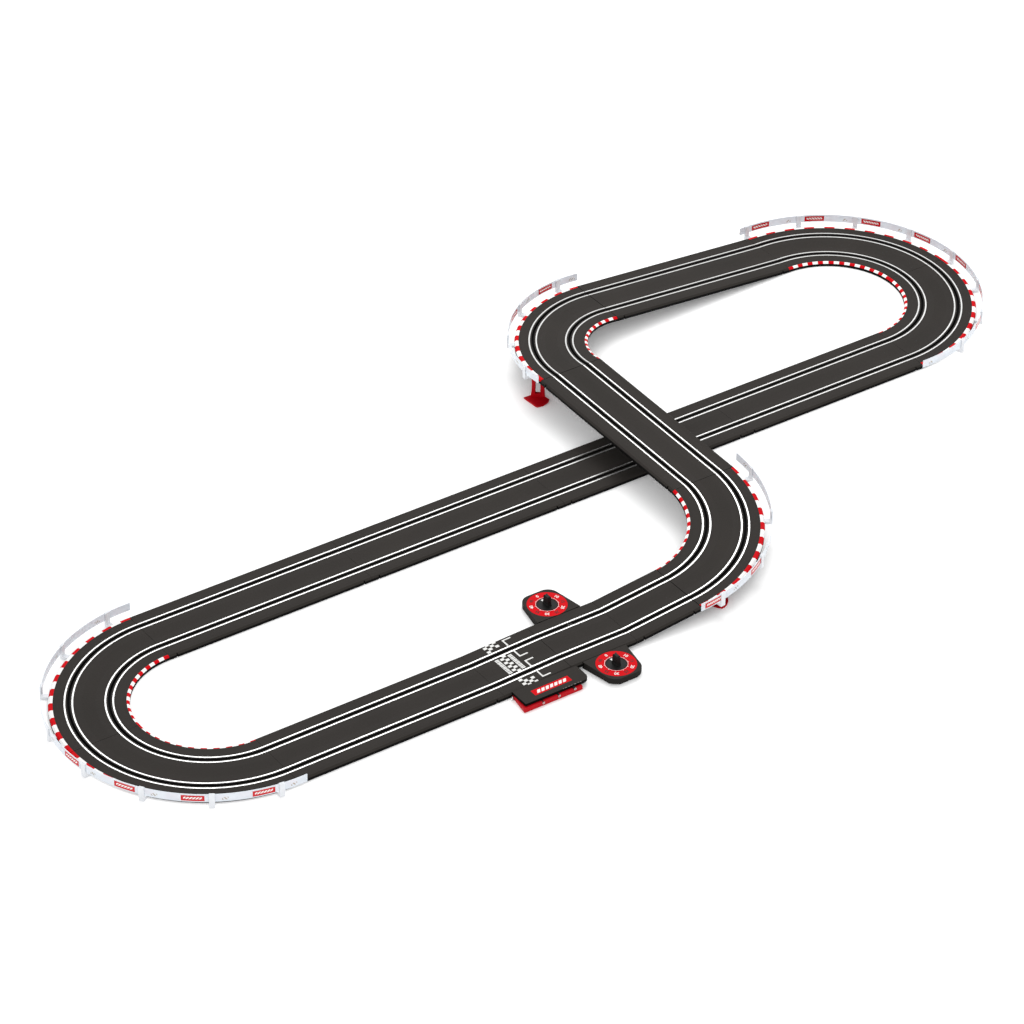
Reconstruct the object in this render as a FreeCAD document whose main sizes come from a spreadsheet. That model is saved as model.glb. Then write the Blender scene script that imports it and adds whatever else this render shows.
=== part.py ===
import FreeCAD, Part
import math
import os
import Sketcher

# Slot car track set: a folded figure of eight with a bridge, two lanes, a power section and a lap
# counter.  Millimetres.  +X runs along the four long straights, +Y towards the far loop, +Z up.
# The origin is on the floor, under the middle of the whole layout.

V = FreeCAD.Vector
Z_AXIS = V(0, 0, 1)
Y_AXIS = V(0, 1, 0)

doc = FreeCAD.newDocument("SlotCarTrackSet")

# ---------------------------------------------------------------------------------------------
# Driving sizes
# ---------------------------------------------------------------------------------------------
DRIVING = [
    # track sections
    ("straight_length", 342), ("short_length", 114), ("curve_radius", 171),
    ("deck_width", 114), ("deck_height", 7), ("plate_thickness", 2), ("skirt_thickness", 1.8),
    ("edge_chamfer", 2.5), ("lane_spacing", 57), ("slot_width", 3), ("slot_floor", 1.8),
    ("channel_wall", 1.2), ("channel_base", 0.8), ("seam_gap", 0.3),
    ("tongue_width", 12), ("tongue_reach", 8), ("tongue_base", 1.5), ("tongue_top", 3.8),
    ("notch_offset", 13), ("notch_width", 2.2), ("notch_depth", 1.5),
    # conductor rails
    ("rail_spacing", 11), ("rail_width", 2.2), ("rail_depth", 0.8), ("rail_play", 0.05),
    # height of the deck above its level on the floor, at the seams of the raised part
    ("ramp_rise", 27), ("bridge_rise", 53), ("bridge_end_rise", 45), ("foot_rise", 16),
    ("counter_rise", 4),
    # guard rails and their clips
    ("guard_offset", 9.6), ("guard_thickness", 0.8), ("guard_lift", 2.5), ("guard_tall", 13),
    ("guard_overrun", 2), ("clip_width", 8), ("clip_wall", 1.3), ("clip_play", 0.15),
    ("clip_gap", 0.1), ("clip_arm_top", 4.2),
    # bridge piers
    ("pier_foot_long", 38), ("pier_foot_wide", 32), ("pier_foot_thickness", 2.5),
    ("pier_leg_span", 26), ("pier_top_span", 20), ("pier_leg_width", 6), ("pier_depth", 5),
    ("pier_plinth", 8), ("pier_head", 3), ("pier_lintel", 2), ("pier_gap", 0.3),
    ("pier_foot_shift", 9),
    # power section
    ("panel_start", 4), ("panel_length", 121), ("panel_reach", 38), ("panel_corner", 22),
    ("panel_gap", 0.3), ("cover_thickness", 1.5), ("cover_lip", 1.6),
    ("cover_hollow_left", 15), ("cover_hollow_right", 16),
    ("housing_wall", 1.6), ("housing_floor", 1.2), ("housing_step", 2), ("housing_length", 108),
    ("jack_radius", 2.1), ("jack_bore", 1.3), ("jack_length", 10), ("jack_depth", 8),
    ("jack_spacing", 27), ("jack_first", 34), ("jack_play", 0.05),
    ("screw_radius", 1.1), ("screw_head_radius", 2.1), ("screw_head_height", 1.1),
    ("screw_play", 0.1), ("screw_inset", 5), ("corner_screw_inset", 8), ("boss_wall", 1),
    ("board_thickness", 1), ("board_side_margin", 8), ("board_end_gap", 1),
    # lap counter
    ("dial_offset", 85.6), ("dial_radius", 29.6), ("dial_hole_radius", 16), ("dial_thickness", 0.8),
    ("dial_play", 0.15), ("pad_base_width", 75), ("pad_outer_width", 62), ("pad_reach", 64),
    ("pad_corner", 20), ("pad_wall", 1.8),
    ("knob_disc_thickness", 1), ("knob_disc_play", 0.4), ("knob_shaft_radius", 3),
    ("knob_running_play", 0.05), ("grip_length", 13), ("grip_width", 9), ("grip_height", 15),
    ("grip_taper", 9), ("knob_lift", 0.3),
    ("ratchet_radius", 14), ("ratchet_root", 12), ("ratchet_teeth", 12), ("ratchet_lean", 0.8),
    ("lever_pivot_aside", 8.5), ("lever_pivot_back", 20), ("lever_thickness", 1.8),
    ("lever_base", 1), ("lever_arm_width", 4), ("lever_pin_radius", 1.5), ("lever_hub_radius", 3.2),
    ("lever_clear", 0.35), ("finger_length", 6), ("finger_top", 4.6),
    ("pin_head_height", 1), ("pin_seat", 1), ("window_near", 1), ("window_far", 13),
    ("base_cover_thickness", 1.2), ("base_screw_aside", 30), ("base_screw_near", 9),
    ("base_screw_far", 57.5),
]

sheet = doc.addObject("Spreadsheet::Sheet", "Sizes")
for row, (alias, number) in enumerate(DRIVING, start=1):
    sheet.set(f"A{row}", alias)
    sheet.set(f"B{row}", str(number))
    sheet.setAlias(f"B{row}", alias)
doc.recompute()


class Size:
    """A length with the expression that keeps it tied to the sheet."""

    def __init__(self, value, text):
        self.value = float(value)
        self.text = text

    @staticmethod
    def of(other):
        return other if isinstance(other, Size) else Size(other, repr(float(other)))

    def __add__(self, other):
        other = Size.of(other)
        return Size(self.value + other.value, f"({self.text} + {other.text})")

    def __sub__(self, other):
        other = Size.of(other)
        return Size(self.value - other.value, f"({self.text} - {other.text})")

    def __mul__(self, other):
        other = Size.of(other)
        return Size(self.value * other.value, f"({self.text} * {other.text})")

    def __truediv__(self, other):
        other = Size.of(other)
        return Size(self.value / other.value, f"({self.text} / {other.text})")

    def __neg__(self):
        return Size(-self.value, f"(0 - {self.text})")

    def __radd__(self, other):
        return Size.of(other) + self

    def __rsub__(self, other):
        return Size.of(other) - self

    __rmul__ = __mul__


SIZES = {alias: Size(sheet.get(alias), f"Sizes.{alias}") for alias, _ in DRIVING}


def size(name):
    return SIZES[name]


def mm(length):
    return Size.of(length).value


def slant(along, across):
    """The length of the slanting side of a right-angled triangle."""
    along = Size.of(along)
    across = Size.of(across)
    return Size(math.hypot(along.value, across.value), f"({along.text}^2 + {across.text}^2)^0.5")


def bind(thing, prop, length):
    """Give a property its value and the expression that keeps it there."""
    length = Size.of(length)
    setattr(thing, prop, length.value)
    thing.setExpression(prop, length.text)


# ---------------------------------------------------------------------------------------------
# Sketches and bodies
# ---------------------------------------------------------------------------------------------
PIECES = []
NEAR = 1e-3  # two points this close are the same corner


def new_body(label, piece=True):
    body = doc.addObject("PartDesign::Body", label)
    body.AllowCompound = True
    if piece:
        PIECES.append(body)
    return body


def new_sketch(body, plane, lift=0):
    """A sketch on one of the body's own planes, raised along the plane's normal."""
    sketch = body.newObject("Sketcher::SketchObject", body.Name + "_sketch")
    support = next(o for o in body.Origin.OriginFeatures if o.Role == plane)
    sketch.AttachmentSupport = [(support, "")]
    sketch.MapMode = "FlatFace"
    lift = Size.of(lift)
    sketch.AttachmentOffset = FreeCAD.Placement(V(0, 0, lift.value), FreeCAD.Rotation())
    sketch.setExpression("AttachmentOffset.Base.z", lift.text)
    return sketch


def tie(sketch, kind, geometry, point, length):
    """Hold a point of the sketch at a signed distance from the sketch's origin."""
    length = Size.of(length)
    index = sketch.addConstraint(
        Sketcher.Constraint(kind, -1, 1, geometry, point, length.value))
    sketch.setExpression(f"Constraints[{index}]", length.text)


def draw_polygon(sketch, points):
    """A closed outline of straight lines, each corner tied to the sheet."""
    first = len(sketch.Geometry)
    count = len(points)
    for i, (x, y) in enumerate(points):
        next_x, next_y = points[(i + 1) % count]
        sketch.addGeometry(Part.LineSegment(V(mm(x), mm(y), 0), V(mm(next_x), mm(next_y), 0)))
    for i, (x, y) in enumerate(points):
        sketch.addConstraint(Sketcher.Constraint(
            "Coincident", first + i, 2, first + (i + 1) % count, 1))
        tie(sketch, "DistanceX", first + i, 1, x)
        tie(sketch, "DistanceY", first + i, 1, y)


def draw_circle(sketch, x, y, radius):
    radius = Size.of(radius)
    index = sketch.addGeometry(Part.Circle(V(mm(x), mm(y), 0), Z_AXIS, radius.value))
    tie(sketch, "DistanceX", index, 3, x)
    tie(sketch, "DistanceY", index, 3, y)
    number = sketch.addConstraint(Sketcher.Constraint("Radius", index, radius.value))
    sketch.setExpression(f"Constraints[{number}]", radius.text)


def pad(body, sketch, length, reverse=False, taper=None, midplane=False):
    feature = body.newObject("PartDesign::Pad", body.Name + "_pad")
    feature.Profile = sketch
    bind(feature, "Length", length)
    feature.Reversed = reverse
    feature.Midplane = midplane
    if taper is not None:
        bind(feature, "TaperAngle", -taper)
    return feature


def pocket(body, sketch, depth, reverse=False):
    """Cut along the plane's normal, or against it when reverse is false."""
    feature = body.newObject("PartDesign::Pocket", body.Name + "_pocket")
    feature.Profile = sketch
    bind(feature, "Length", depth)
    feature.Reversed = reverse
    return feature


def level_sketch(body, low, outlines=(), circles=()):
    """Outlines and circles drawn flat, at one height of the body's frame."""
    sketch = new_sketch(body, "XY_Plane", low)
    for outline in outlines:
        draw_polygon(sketch, outline)
    for x, y, radius in circles:
        draw_circle(sketch, x, y, radius)
    return sketch


def rise(body, low, high, outlines=(), circles=()):
    """Add upright prisms between two heights."""
    return pad(body, level_sketch(body, low, outlines, circles), Size.of(high) - low)


def sink(body, low, high, outlines=(), circles=()):
    """Cut upright prisms between two heights."""
    return pocket(body, level_sketch(body, low, outlines, circles), Size.of(high) - low,
                  reverse=True)


def rectangle(low_x, low_y, high_x, high_y):
    return [(low_x, low_y), (high_x, low_y), (high_x, high_y), (low_x, high_y)]


def round_corners(body, feature, corners, radius):
    """Round the upright edges that stand on the given corners."""
    doc.recompute()
    names = []
    for number, edge in enumerate(feature.Shape.Edges, start=1):
        ends = [vertex.Point for vertex in edge.Vertexes]
        if len(ends) != 2 or math.hypot(ends[0].x - ends[1].x, ends[0].y - ends[1].y) > NEAR:
            continue
        if any(math.hypot(ends[0].x - mm(x), ends[0].y - mm(y)) < NEAR for x, y in corners):
            names.append(f"Edge{number}")
    fillet = body.newObject("PartDesign::Fillet", body.Name + "_round")
    fillet.Base = (feature, names)
    bind(fillet, "Radius", radius)
    return fillet


def compound(label, members):
    """Identical pieces that share one node."""
    group = doc.addObject("Part::Compound", label)
    group.Links = members
    PIECES.append(group)
    return group


# ---------------------------------------------------------------------------------------------
# Layout of the track: seam points in the plane, heights and slopes
# ---------------------------------------------------------------------------------------------
LENGTH = size("straight_length")
SHORT = size("short_length")
RADIUS = size("curve_radius")
HEIGHT = size("deck_height")
HALF_WIDTH = size("deck_width") / 2
HALF_LANES = size("lane_spacing") / 2
OUTER_RADIUS = RADIUS + HALF_WIDTH
PLATE_UNDER = HEIGHT - size("plate_thickness")
ROOT_BITE = 0.2  # how far one feature reaches into the feature that it joins
CUT_OVERRUN = 1.0  # how far a cut runs past the face that it opens
KINK_SHARE = 0.25  # of the wedge between two decks' ends at a change of slope, trimmed from each
ZERO = Size(0, "0")

# Plan, from the seam where the left loop meets the home straight.  The home straight and the three
# short sections lie on y = 0, the long straights on y = 2R and the ramp on y = 4R.  The left loop
# turns about (0, R) and the right loop about the long straights' end, 3R up.  The falling curve
# starts where the short sections end, and the ramp fills what the bridge and the climbing curve
# leave of the far side.
FALL_X = LENGTH + 3 * SHORT
BRIDGE_X = FALL_X + RADIUS
CLIMB_X = BRIDGE_X + RADIUS
END_X = 4 * LENGTH
RAMP_LENGTH = END_X - CLIMB_X
BRIDGE_LENGTH = 2 * RADIUS
LOW_Y = -mm(HALF_WIDTH + size("pad_reach"))
HIGH_Y = mm(3 * RADIUS + OUTER_RADIUS + size("guard_offset") + size("guard_thickness"))
CENTRE = V(mm(END_X) / 2, (LOW_Y + HIGH_Y) / 2, 0)


def place(x, y, height, yaw=0.0, pitch=0.0):
    """Put a piece's frame at a seam.  A pitched piece turns about the middle of the deck's height."""
    turn = FreeCAD.Rotation(Z_AXIS, yaw) * FreeCAD.Rotation(Y_AXIS, -pitch)
    middle = V(0, 0, mm(HEIGHT) / 2)
    spot = V(mm(x), mm(y), mm(height)) - CENTRE + middle - turn.multVec(middle)
    return FreeCAD.Placement(spot, turn)


class Straight:
    """A straight section from a seam at one height to a seam at another."""

    def __init__(self, x, y, yaw, length, low, high, start_kink=0.0, end_kink=0.0, tongues=(0,)):
        self.run = slant(length, high - low)
        self.start_trim = size("seam_gap") / 2 + HEIGHT * (start_kink * KINK_SHARE)
        self.end_trim = size("seam_gap") / 2 + HEIGHT * (end_kink * KINK_SHARE)
        self.tongues = tongues
        pitch = math.degrees(math.atan2(mm(high - low), mm(length)))
        self.placement = place(x, y, low, yaw, pitch)

    def sweep(self, body, loops):
        sketch = new_sketch(body, "YZ_Plane", self.start_trim)
        for loop in loops:
            draw_polygon(sketch, loop)
        pad(body, sketch, self.run - self.start_trim - self.end_trim)

    def offset(self, across):
        return across


class Curve:
    """A quarter turn about its own Z axis, level or climbing."""

    def __init__(self, x, y, start, low, high, start_kink=0.0, end_kink=0.0, tongues=(0,)):
        self.rise = high - low
        self.tongues = tongues
        trim = mm(size("seam_gap")) / 2 + mm(HEIGHT) * max(start_kink, end_kink) * KINK_SHARE
        self.trim = math.degrees(trim / mm(RADIUS - HALF_WIDTH))
        self.placement = FreeCAD.Placement(V(mm(x), mm(y), mm(low)) - CENTRE,
                                           FreeCAD.Rotation(Z_AXIS, start))

    def sweep(self, body, loops, start=None, end=None):
        """Turn outlines drawn on the radius about the curve's centre, each of them in its own sketch
        when the section climbs."""
        start = self.trim if start is None else start
        end = 90 - self.trim if end is None else end
        climb = self.rise / 90
        for loop in (loops if self.rise.value else [loops]):
            sketch = new_sketch(body, "XZ_Plane")
            for outline in ([loop] if self.rise.value else loop):
                draw_polygon(sketch, outline)
            turned = FreeCAD.Rotation(Y_AXIS, start)
            sketch.AttachmentOffset = FreeCAD.Placement(V(0, mm(climb) * start, 0), turned)
            sketch.setExpression("AttachmentOffset.Base.y", (climb * start).text)
            if self.rise.value:
                feature = body.newObject("PartDesign::AdditiveHelix", body.Name + "_climb")
                feature.Profile = sketch
                feature.ReferenceAxis = (sketch, ["V_Axis"])
                feature.Mode = 0
                bind(feature, "Pitch", self.rise * 4)
                bind(feature, "Height", climb * (end - start))
            else:
                feature = body.newObject("PartDesign::Revolution", body.Name + "_turn")
                feature.Profile = sketch
                feature.ReferenceAxis = (sketch, ["V_Axis"])
                feature.Angle = end - start

    def offset(self, across):
        return RADIUS + across


def deck_outline(section):
    """The cross-section of a deck: skirts, plate, a channel under each slot and grooves for the
    conductor rails.  Across is measured from the deck's middle line, or from the curve's centre."""
    top = HEIGHT
    under = PLATE_UNDER
    skirt = HALF_WIDTH - size("skirt_thickness")
    slot = size("slot_width") / 2
    channel = slot + size("channel_wall")
    groove_in = (size("rail_spacing") - size("rail_width")) / 2 - size("rail_play")
    groove_out = (size("rail_spacing") + size("rail_width")) / 2 + size("rail_play")
    groove_floor = HEIGHT - size("rail_depth")
    chamfer = size("edge_chamfer")
    points = [(-HALF_WIDTH, 0), (-skirt, 0), (-skirt, under)]
    for lane in (-HALF_LANES, HALF_LANES):
        points += [(lane - channel, under), (lane - channel, size("channel_base")),
                   (lane + channel, size("channel_base")), (lane + channel, under)]
    points += [(skirt, under), (skirt, 0), (HALF_WIDTH, 0), (HALF_WIDTH, top - chamfer),
               (HALF_WIDTH - chamfer, top)]
    for lane in (HALF_LANES, -HALF_LANES):
        points += [(lane + groove_out, top), (lane + groove_out, groove_floor),
                   (lane + groove_in, groove_floor), (lane + groove_in, top),
                   (lane + slot, top), (lane + slot, size("slot_floor")),
                   (lane - slot, size("slot_floor")), (lane - slot, top),
                   (lane - groove_in, top), (lane - groove_in, groove_floor),
                   (lane - groove_out, groove_floor), (lane - groove_out, top)]
    points += [(-HALF_WIDTH + chamfer, top), (-HALF_WIDTH, top - chamfer)]
    return [(section.offset(across), level) for across, level in points]


def rail_outlines(section):
    low = HEIGHT - size("rail_depth")
    half = size("rail_width") / 2
    outlines = []
    for lane in (-HALF_LANES, HALF_LANES):
        for side in (-size("rail_spacing") / 2, size("rail_spacing") / 2):
            near = section.offset(lane + side - half)
            far = section.offset(lane + side + half)
            outlines.append([(near, low), (far, low), (far, HEIGHT), (near, HEIGHT)])
    return outlines


def tongue_rows(section):
    """The two tongues lie in the hollow between the channels, side by side."""
    for side in (-1, 1):
        middle = section.offset(side * HALF_LANES / 2)
        yield middle - size("tongue_width") / 2, middle + size("tongue_width") / 2


def add_tongues_straight(body, section):
    tongues = []
    roots = []
    for near, far in tongue_rows(section):
        for end in section.tongues:
            reach = size("tongue_reach")
            seam = section.run * end
            tongues.append(rectangle(seam - reach, near, seam + reach, far))
            low, high = (section.start_trim, reach) if end == 0 else (
                section.run - reach, section.run - section.end_trim)
            roots.append(rectangle(low, near, high, far))
    rise(body, size("tongue_base"), size("tongue_top"), tongues)
    rise(body, size("tongue_base"), PLATE_UNDER + ROOT_BITE, roots)


def add_tongues_curve(body, section):
    if not section.tongues:
        return
    reach = size("tongue_reach")
    rows = list(tongue_rows(section))
    rise(body, size("tongue_base"), size("tongue_top"),
         [rectangle(near, -reach, far, reach) for near, far in rows])
    rise(body, size("tongue_base"), PLATE_UNDER + ROOT_BITE,
         [rectangle(near, size("seam_gap") + ROOT_BITE, far, reach) for near, far in rows])


def cut_notches(body, section):
    """Small notches in both edges, a little way from each seam."""
    half = size("notch_width") / 2
    edge = HALF_WIDTH + ROOT_BITE
    inside = HALF_WIDTH - size("notch_depth")
    outlines = []
    for along in (size("notch_offset"), section.run - size("notch_offset")):
        outlines.append(rectangle(along - half, -edge, along + half, -inside))
        outlines.append(rectangle(along - half, inside, along + half, edge))
    sink(body, 0, HEIGHT, outlines)


def straight_deck(label, section):
    body = new_body(label)
    section.sweep(body, [deck_outline(section)])
    add_tongues_straight(body, section)
    cut_notches(body, section)
    body.Placement = section.placement
    return body


def curve_deck(label, section):
    body = new_body(label)
    section.sweep(body, [deck_outline(section)])
    add_tongues_curve(body, section)
    body.Placement = section.placement
    return body


def conductor_rails(label, sections):
    """The four strips of each section in the list, all in one node."""
    members = []
    for number, section in enumerate(sections, start=1):
        body = new_body(f"{label}_strips_{number}" if len(sections) > 1 else label,
                        piece=len(sections) == 1)
        section.sweep(body, rail_outlines(section))
        body.Placement = section.placement
        members.append(body)
    if len(sections) > 1:
        compound(label, members)


# slopes of the raised sections, for the room that a kink at a seam needs
QUARTER_TURN = mm(RADIUS) * math.pi / 2
RAMP_SLOPE = mm(size("ramp_rise")) / mm(RAMP_LENGTH)
UP_SLOPE = mm(size("bridge_rise") - size("ramp_rise")) / QUARTER_TURN
BRIDGE_SLOPE = mm(size("bridge_end_rise") - size("bridge_rise")) / mm(BRIDGE_LENGTH)
DOWN_SLOPE = mm(size("bridge_end_rise") - size("foot_rise")) / QUARTER_TURN
FOOT_SLOPE = mm(size("foot_rise") - size("counter_rise")) / mm(SHORT)
POWER_SLOPE = mm(size("counter_rise")) / mm(SHORT)

long_sections = [Straight(LENGTH * n, 2 * RADIUS, 0, LENGTH, ZERO, ZERO) for n in range(4)]
ramp_section = Straight(END_X, 4 * RADIUS, 180, RAMP_LENGTH, ZERO, size("ramp_rise"),
                        RAMP_SLOPE, abs(UP_SLOPE - RAMP_SLOPE))
bridge_section = Straight(BRIDGE_X, 3 * RADIUS, -90, BRIDGE_LENGTH, size("bridge_rise"),
                          size("bridge_end_rise"), abs(UP_SLOPE - BRIDGE_SLOPE),
                          abs(DOWN_SLOPE + BRIDGE_SLOPE), (0, 1))
home_section = Straight(ZERO, ZERO, 0, LENGTH, ZERO, ZERO, 0, POWER_SLOPE)
power_section = Straight(LENGTH, ZERO, 0, SHORT, ZERO, size("counter_rise"),
                         POWER_SLOPE, POWER_SLOPE)
counter_section = Straight(LENGTH + SHORT, ZERO, 0, SHORT, size("counter_rise"),
                           size("counter_rise"), POWER_SLOPE, FOOT_SLOPE)
short_section = Straight(LENGTH + 2 * SHORT, ZERO, 0, SHORT, size("counter_rise"),
                         size("foot_rise"), FOOT_SLOPE, abs(DOWN_SLOPE - FOOT_SLOPE))
left_curves = [Curve(ZERO, RADIUS, 90, ZERO, ZERO, tongues=()),
               Curve(ZERO, RADIUS, 180, ZERO, ZERO)]
right_curves = [Curve(END_X, 3 * RADIUS, -90, ZERO, ZERO), Curve(END_X, 3 * RADIUS, 0, ZERO, ZERO)]
climbing_curve = Curve(CLIMB_X, 3 * RADIUS, 90, size("ramp_rise"), size("bridge_rise"),
                       abs(UP_SLOPE - RAMP_SLOPE), abs(UP_SLOPE - BRIDGE_SLOPE))
falling_curve = Curve(FALL_X, RADIUS, -90, size("foot_rise"), size("bridge_end_rise"),
                      abs(DOWN_SLOPE - FOOT_SLOPE), abs(DOWN_SLOPE + BRIDGE_SLOPE))


# ---------------------------------------------------------------------------------------------
# Decks and conductor rails
# ---------------------------------------------------------------------------------------------
for number, section in enumerate(long_sections, start=1):
    straight_deck(f"long_straight_{number}", section)
straight_deck("ramp_straight", ramp_section)
straight_deck("bridge_straight", bridge_section)
straight_deck("home_straight", home_section)
straight_deck("short_straight", short_section)
power_deck = straight_deck("power_section_deck", power_section)
counter_deck = new_body("lap_counter_deck")
counter_section.sweep(counter_deck, [deck_outline(counter_section)])
add_tongues_straight(counter_deck, counter_section)
counter_deck.Placement = counter_section.placement
curve_deck("left_curve_far", left_curves[0])
curve_deck("left_curve_near", left_curves[1])
curve_deck("right_curve_near", right_curves[0])
curve_deck("right_curve_far", right_curves[1])
curve_deck("climbing_curve", climbing_curve)
curve_deck("falling_curve", falling_curve)

conductor_rails("rails_long_straights", long_sections)
conductor_rails("rails_left_loop", left_curves)
conductor_rails("rails_right_loop", right_curves)
conductor_rails("rails_ramp_straight", [ramp_section])
conductor_rails("rails_bridge_straight", [bridge_section])
conductor_rails("rails_climbing_curve", [climbing_curve])
conductor_rails("rails_falling_curve", [falling_curve])
conductor_rails("rails_home_straight", [home_section])
conductor_rails("rails_power_section", [power_section])
conductor_rails("rails_lap_counter", [counter_section])
conductor_rails("rails_short_straight", [short_section])

# ---------------------------------------------------------------------------------------------
# Guard rails: a thin upright strip outside each bend, held in white clips on the deck's edge
# ---------------------------------------------------------------------------------------------
GUARD_IN = OUTER_RADIUS + size("guard_offset")
GUARD_OUT = GUARD_IN + size("guard_thickness")
GUARD_LOW = HEIGHT + size("guard_lift")
GUARD_TOP = GUARD_LOW + size("guard_tall")


def guard_strip(label, curve, turn):
    body = new_body(label)
    outline = [(GUARD_IN, GUARD_LOW), (GUARD_OUT, GUARD_LOW), (GUARD_OUT, GUARD_TOP),
               (GUARD_IN, GUARD_TOP)]
    overrun = mm(size("guard_overrun"))
    curve.sweep(body, [outline], -overrun, turn + overrun)
    body.Placement = curve.placement


def guard_clips(label, curve, angles):
    """Upright clips with a slot for the strip, at the given angles round the bend."""
    slot_in = GUARD_IN - size("clip_play")
    slot_out = GUARD_OUT + size("clip_play")
    post_in = slot_in - size("clip_wall")
    post_out = slot_out + size("clip_wall")
    edge = OUTER_RADIUS + size("clip_gap")
    slot_end = GUARD_LOW - curve.rise / mm(RADIUS) * size("clip_width") / 3
    outline = [(edge, 0), (post_out, 0), (post_out, GUARD_TOP), (slot_out, GUARD_TOP),
               (slot_out, slot_end), (slot_in, slot_end), (slot_in, GUARD_TOP),
               (post_in, GUARD_TOP), (post_in, size("clip_arm_top")), (edge, size("clip_arm_top"))]
    members = []
    for number, angle in enumerate(angles, start=1):
        body = new_body(f"{label}_{number}", piece=False)
        sketch = new_sketch(body, "XZ_Plane")
        draw_polygon(sketch, outline)
        pad(body, sketch, size("clip_width"), midplane=True)
        lift = mm(curve.rise) / 90 * angle
        turn = FreeCAD.Placement(V(0, 0, lift), FreeCAD.Rotation(Z_AXIS, angle))
        body.Placement = curve.placement.multiply(turn)
        members.append(body)
    compound(label, members)


LOOP_CLIPS = 8
BEND_CLIPS = 4


def spread(first, last, count):
    """Evenly spaced angles from the first to the last, in degrees."""
    return [first + (last - first) * n / (count - 1) for n in range(count)]


guard_strip("guard_rail_left_loop", left_curves[0], 180)
guard_strip("guard_rail_right_loop", right_curves[0], 180)
guard_strip("guard_rail_climbing_curve", climbing_curve, 90)
guard_strip("guard_rail_falling_curve", falling_curve, 90)
guard_clips("rail_clips_left_loop", left_curves[0], spread(7.5, 172.5, LOOP_CLIPS))
guard_clips("rail_clips_right_loop", right_curves[0], spread(20.3, 178.5, LOOP_CLIPS))
guard_clips("rail_clips_climbing_curve", climbing_curve, spread(7.5, 82.5, BEND_CLIPS))
guard_clips("rail_clips_falling_curve", falling_curve, spread(7.5, 82.5, BEND_CLIPS))


# ---------------------------------------------------------------------------------------------
# Bridge piers: a rounded foot, two legs on a plinth and a head under the deck's outer half
# ---------------------------------------------------------------------------------------------
def pier(label, curve, angle, across):
    """One pier under a climbing curve.  Its frame has X outwards along the curve's radius."""
    height = mm(curve.placement.Base.z) + mm(curve.rise) / 90 * angle
    slope_room = mm(curve.rise) / 90 * math.degrees(mm(size("pier_depth")) / 2 / mm(RADIUS))
    top = Size(height, repr(height)) - size("pier_gap") - slope_room
    body = new_body(label)
    half_long = size("pier_foot_long") / 2
    wide = size("pier_foot_wide")
    back = -size("pier_foot_shift")
    foot = rise(body, 0, size("pier_foot_thickness"),
                [rectangle(-half_long, back, half_long, back + wide)])
    round_corners(body, foot, [(-half_long, back + wide), (half_long, back + wide)],
                  size("pier_foot_wide") / 2)
    half_leg = size("pier_leg_span") / 2
    half_top = size("pier_top_span") / 2
    leg = size("pier_leg_width")
    under_head = top - size("pier_head")
    under_lintel = under_head - size("pier_lintel")
    legs = new_sketch(body, "XZ_Plane")
    draw_polygon(legs, [(-half_leg, 0), (half_leg, 0), (half_top, under_head),
                        (-half_top, under_head)])
    pad(body, legs, size("pier_depth"), midplane=True)
    window = new_sketch(body, "XZ_Plane", -size("pier_depth"))
    draw_polygon(window, [(-half_leg + leg, size("pier_plinth")), (half_leg - leg, size("pier_plinth")),
                          (half_top - leg, under_lintel), (-half_top + leg, under_lintel)])
    pocket(body, window, size("pier_depth") * 2, reverse=True)
    half_deep = size("pier_depth") / 2
    half_head = size("pier_foot_long") / 2
    rise(body, under_head - ROOT_BITE, top, [rectangle(-half_head, -half_deep, half_head, half_deep)])
    local = FreeCAD.Placement(V(0, 0, -curve.placement.Base.z), FreeCAD.Rotation(Z_AXIS, angle))
    out = FreeCAD.Placement(V(mm(RADIUS + across), 0, 0), FreeCAD.Rotation())
    body.Placement = curve.placement.multiply(local).multiply(out)


# each pier's curve and how far round it the pier stands, in degrees from the curve's start
PIERS = [("pier_ramp_top", climbing_curve, 10), ("pier_bridge_start", climbing_curve, 77),
         ("pier_bridge_end", falling_curve, 80), ("pier_ramp_foot", falling_curve, 10)]
for label, curve, angle in PIERS:
    pier(label, curve, angle, HALF_WIDTH - size("pier_foot_long") / 2)

# ---------------------------------------------------------------------------------------------
# Power section: a dark cover and a red housing beside the deck, with the sockets in its front wall
# ---------------------------------------------------------------------------------------------
PANEL_BACK = -(HALF_WIDTH + size("panel_gap"))
PANEL_FRONT = PANEL_BACK - size("panel_reach")
HOUSING_FRONT = PANEL_FRONT - size("housing_step")
PANEL_LEFT = size("panel_start")
PANEL_RIGHT = PANEL_LEFT + size("panel_length")
HOUSING_RIGHT = PANEL_LEFT + size("housing_length")
COVER_LOW = HEIGHT - size("cover_thickness") - size("cover_lip")
JACK_LEVEL = size("housing_floor") + size("jack_radius") + size("jack_play")
INSET = size("screw_inset")
screw_spots = [(PANEL_LEFT + INSET, PANEL_BACK - INSET), (PANEL_LEFT + INSET, PANEL_FRONT + INSET),
               (HOUSING_RIGHT - INSET, PANEL_BACK - INSET),
               (HOUSING_RIGHT - size("corner_screw_inset"), PANEL_FRONT + INSET)]
jack_spots = [PANEL_LEFT + size("jack_first") + size("jack_spacing") * n for n in range(3)]


def bore_along_y(body, x, z, radius, front, back):
    """Cut a round hole that runs along Y."""
    sketch = new_sketch(body, "XZ_Plane", -back)
    draw_circle(sketch, x, z, radius)
    return pocket(body, sketch, back - front, reverse=True)


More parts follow.
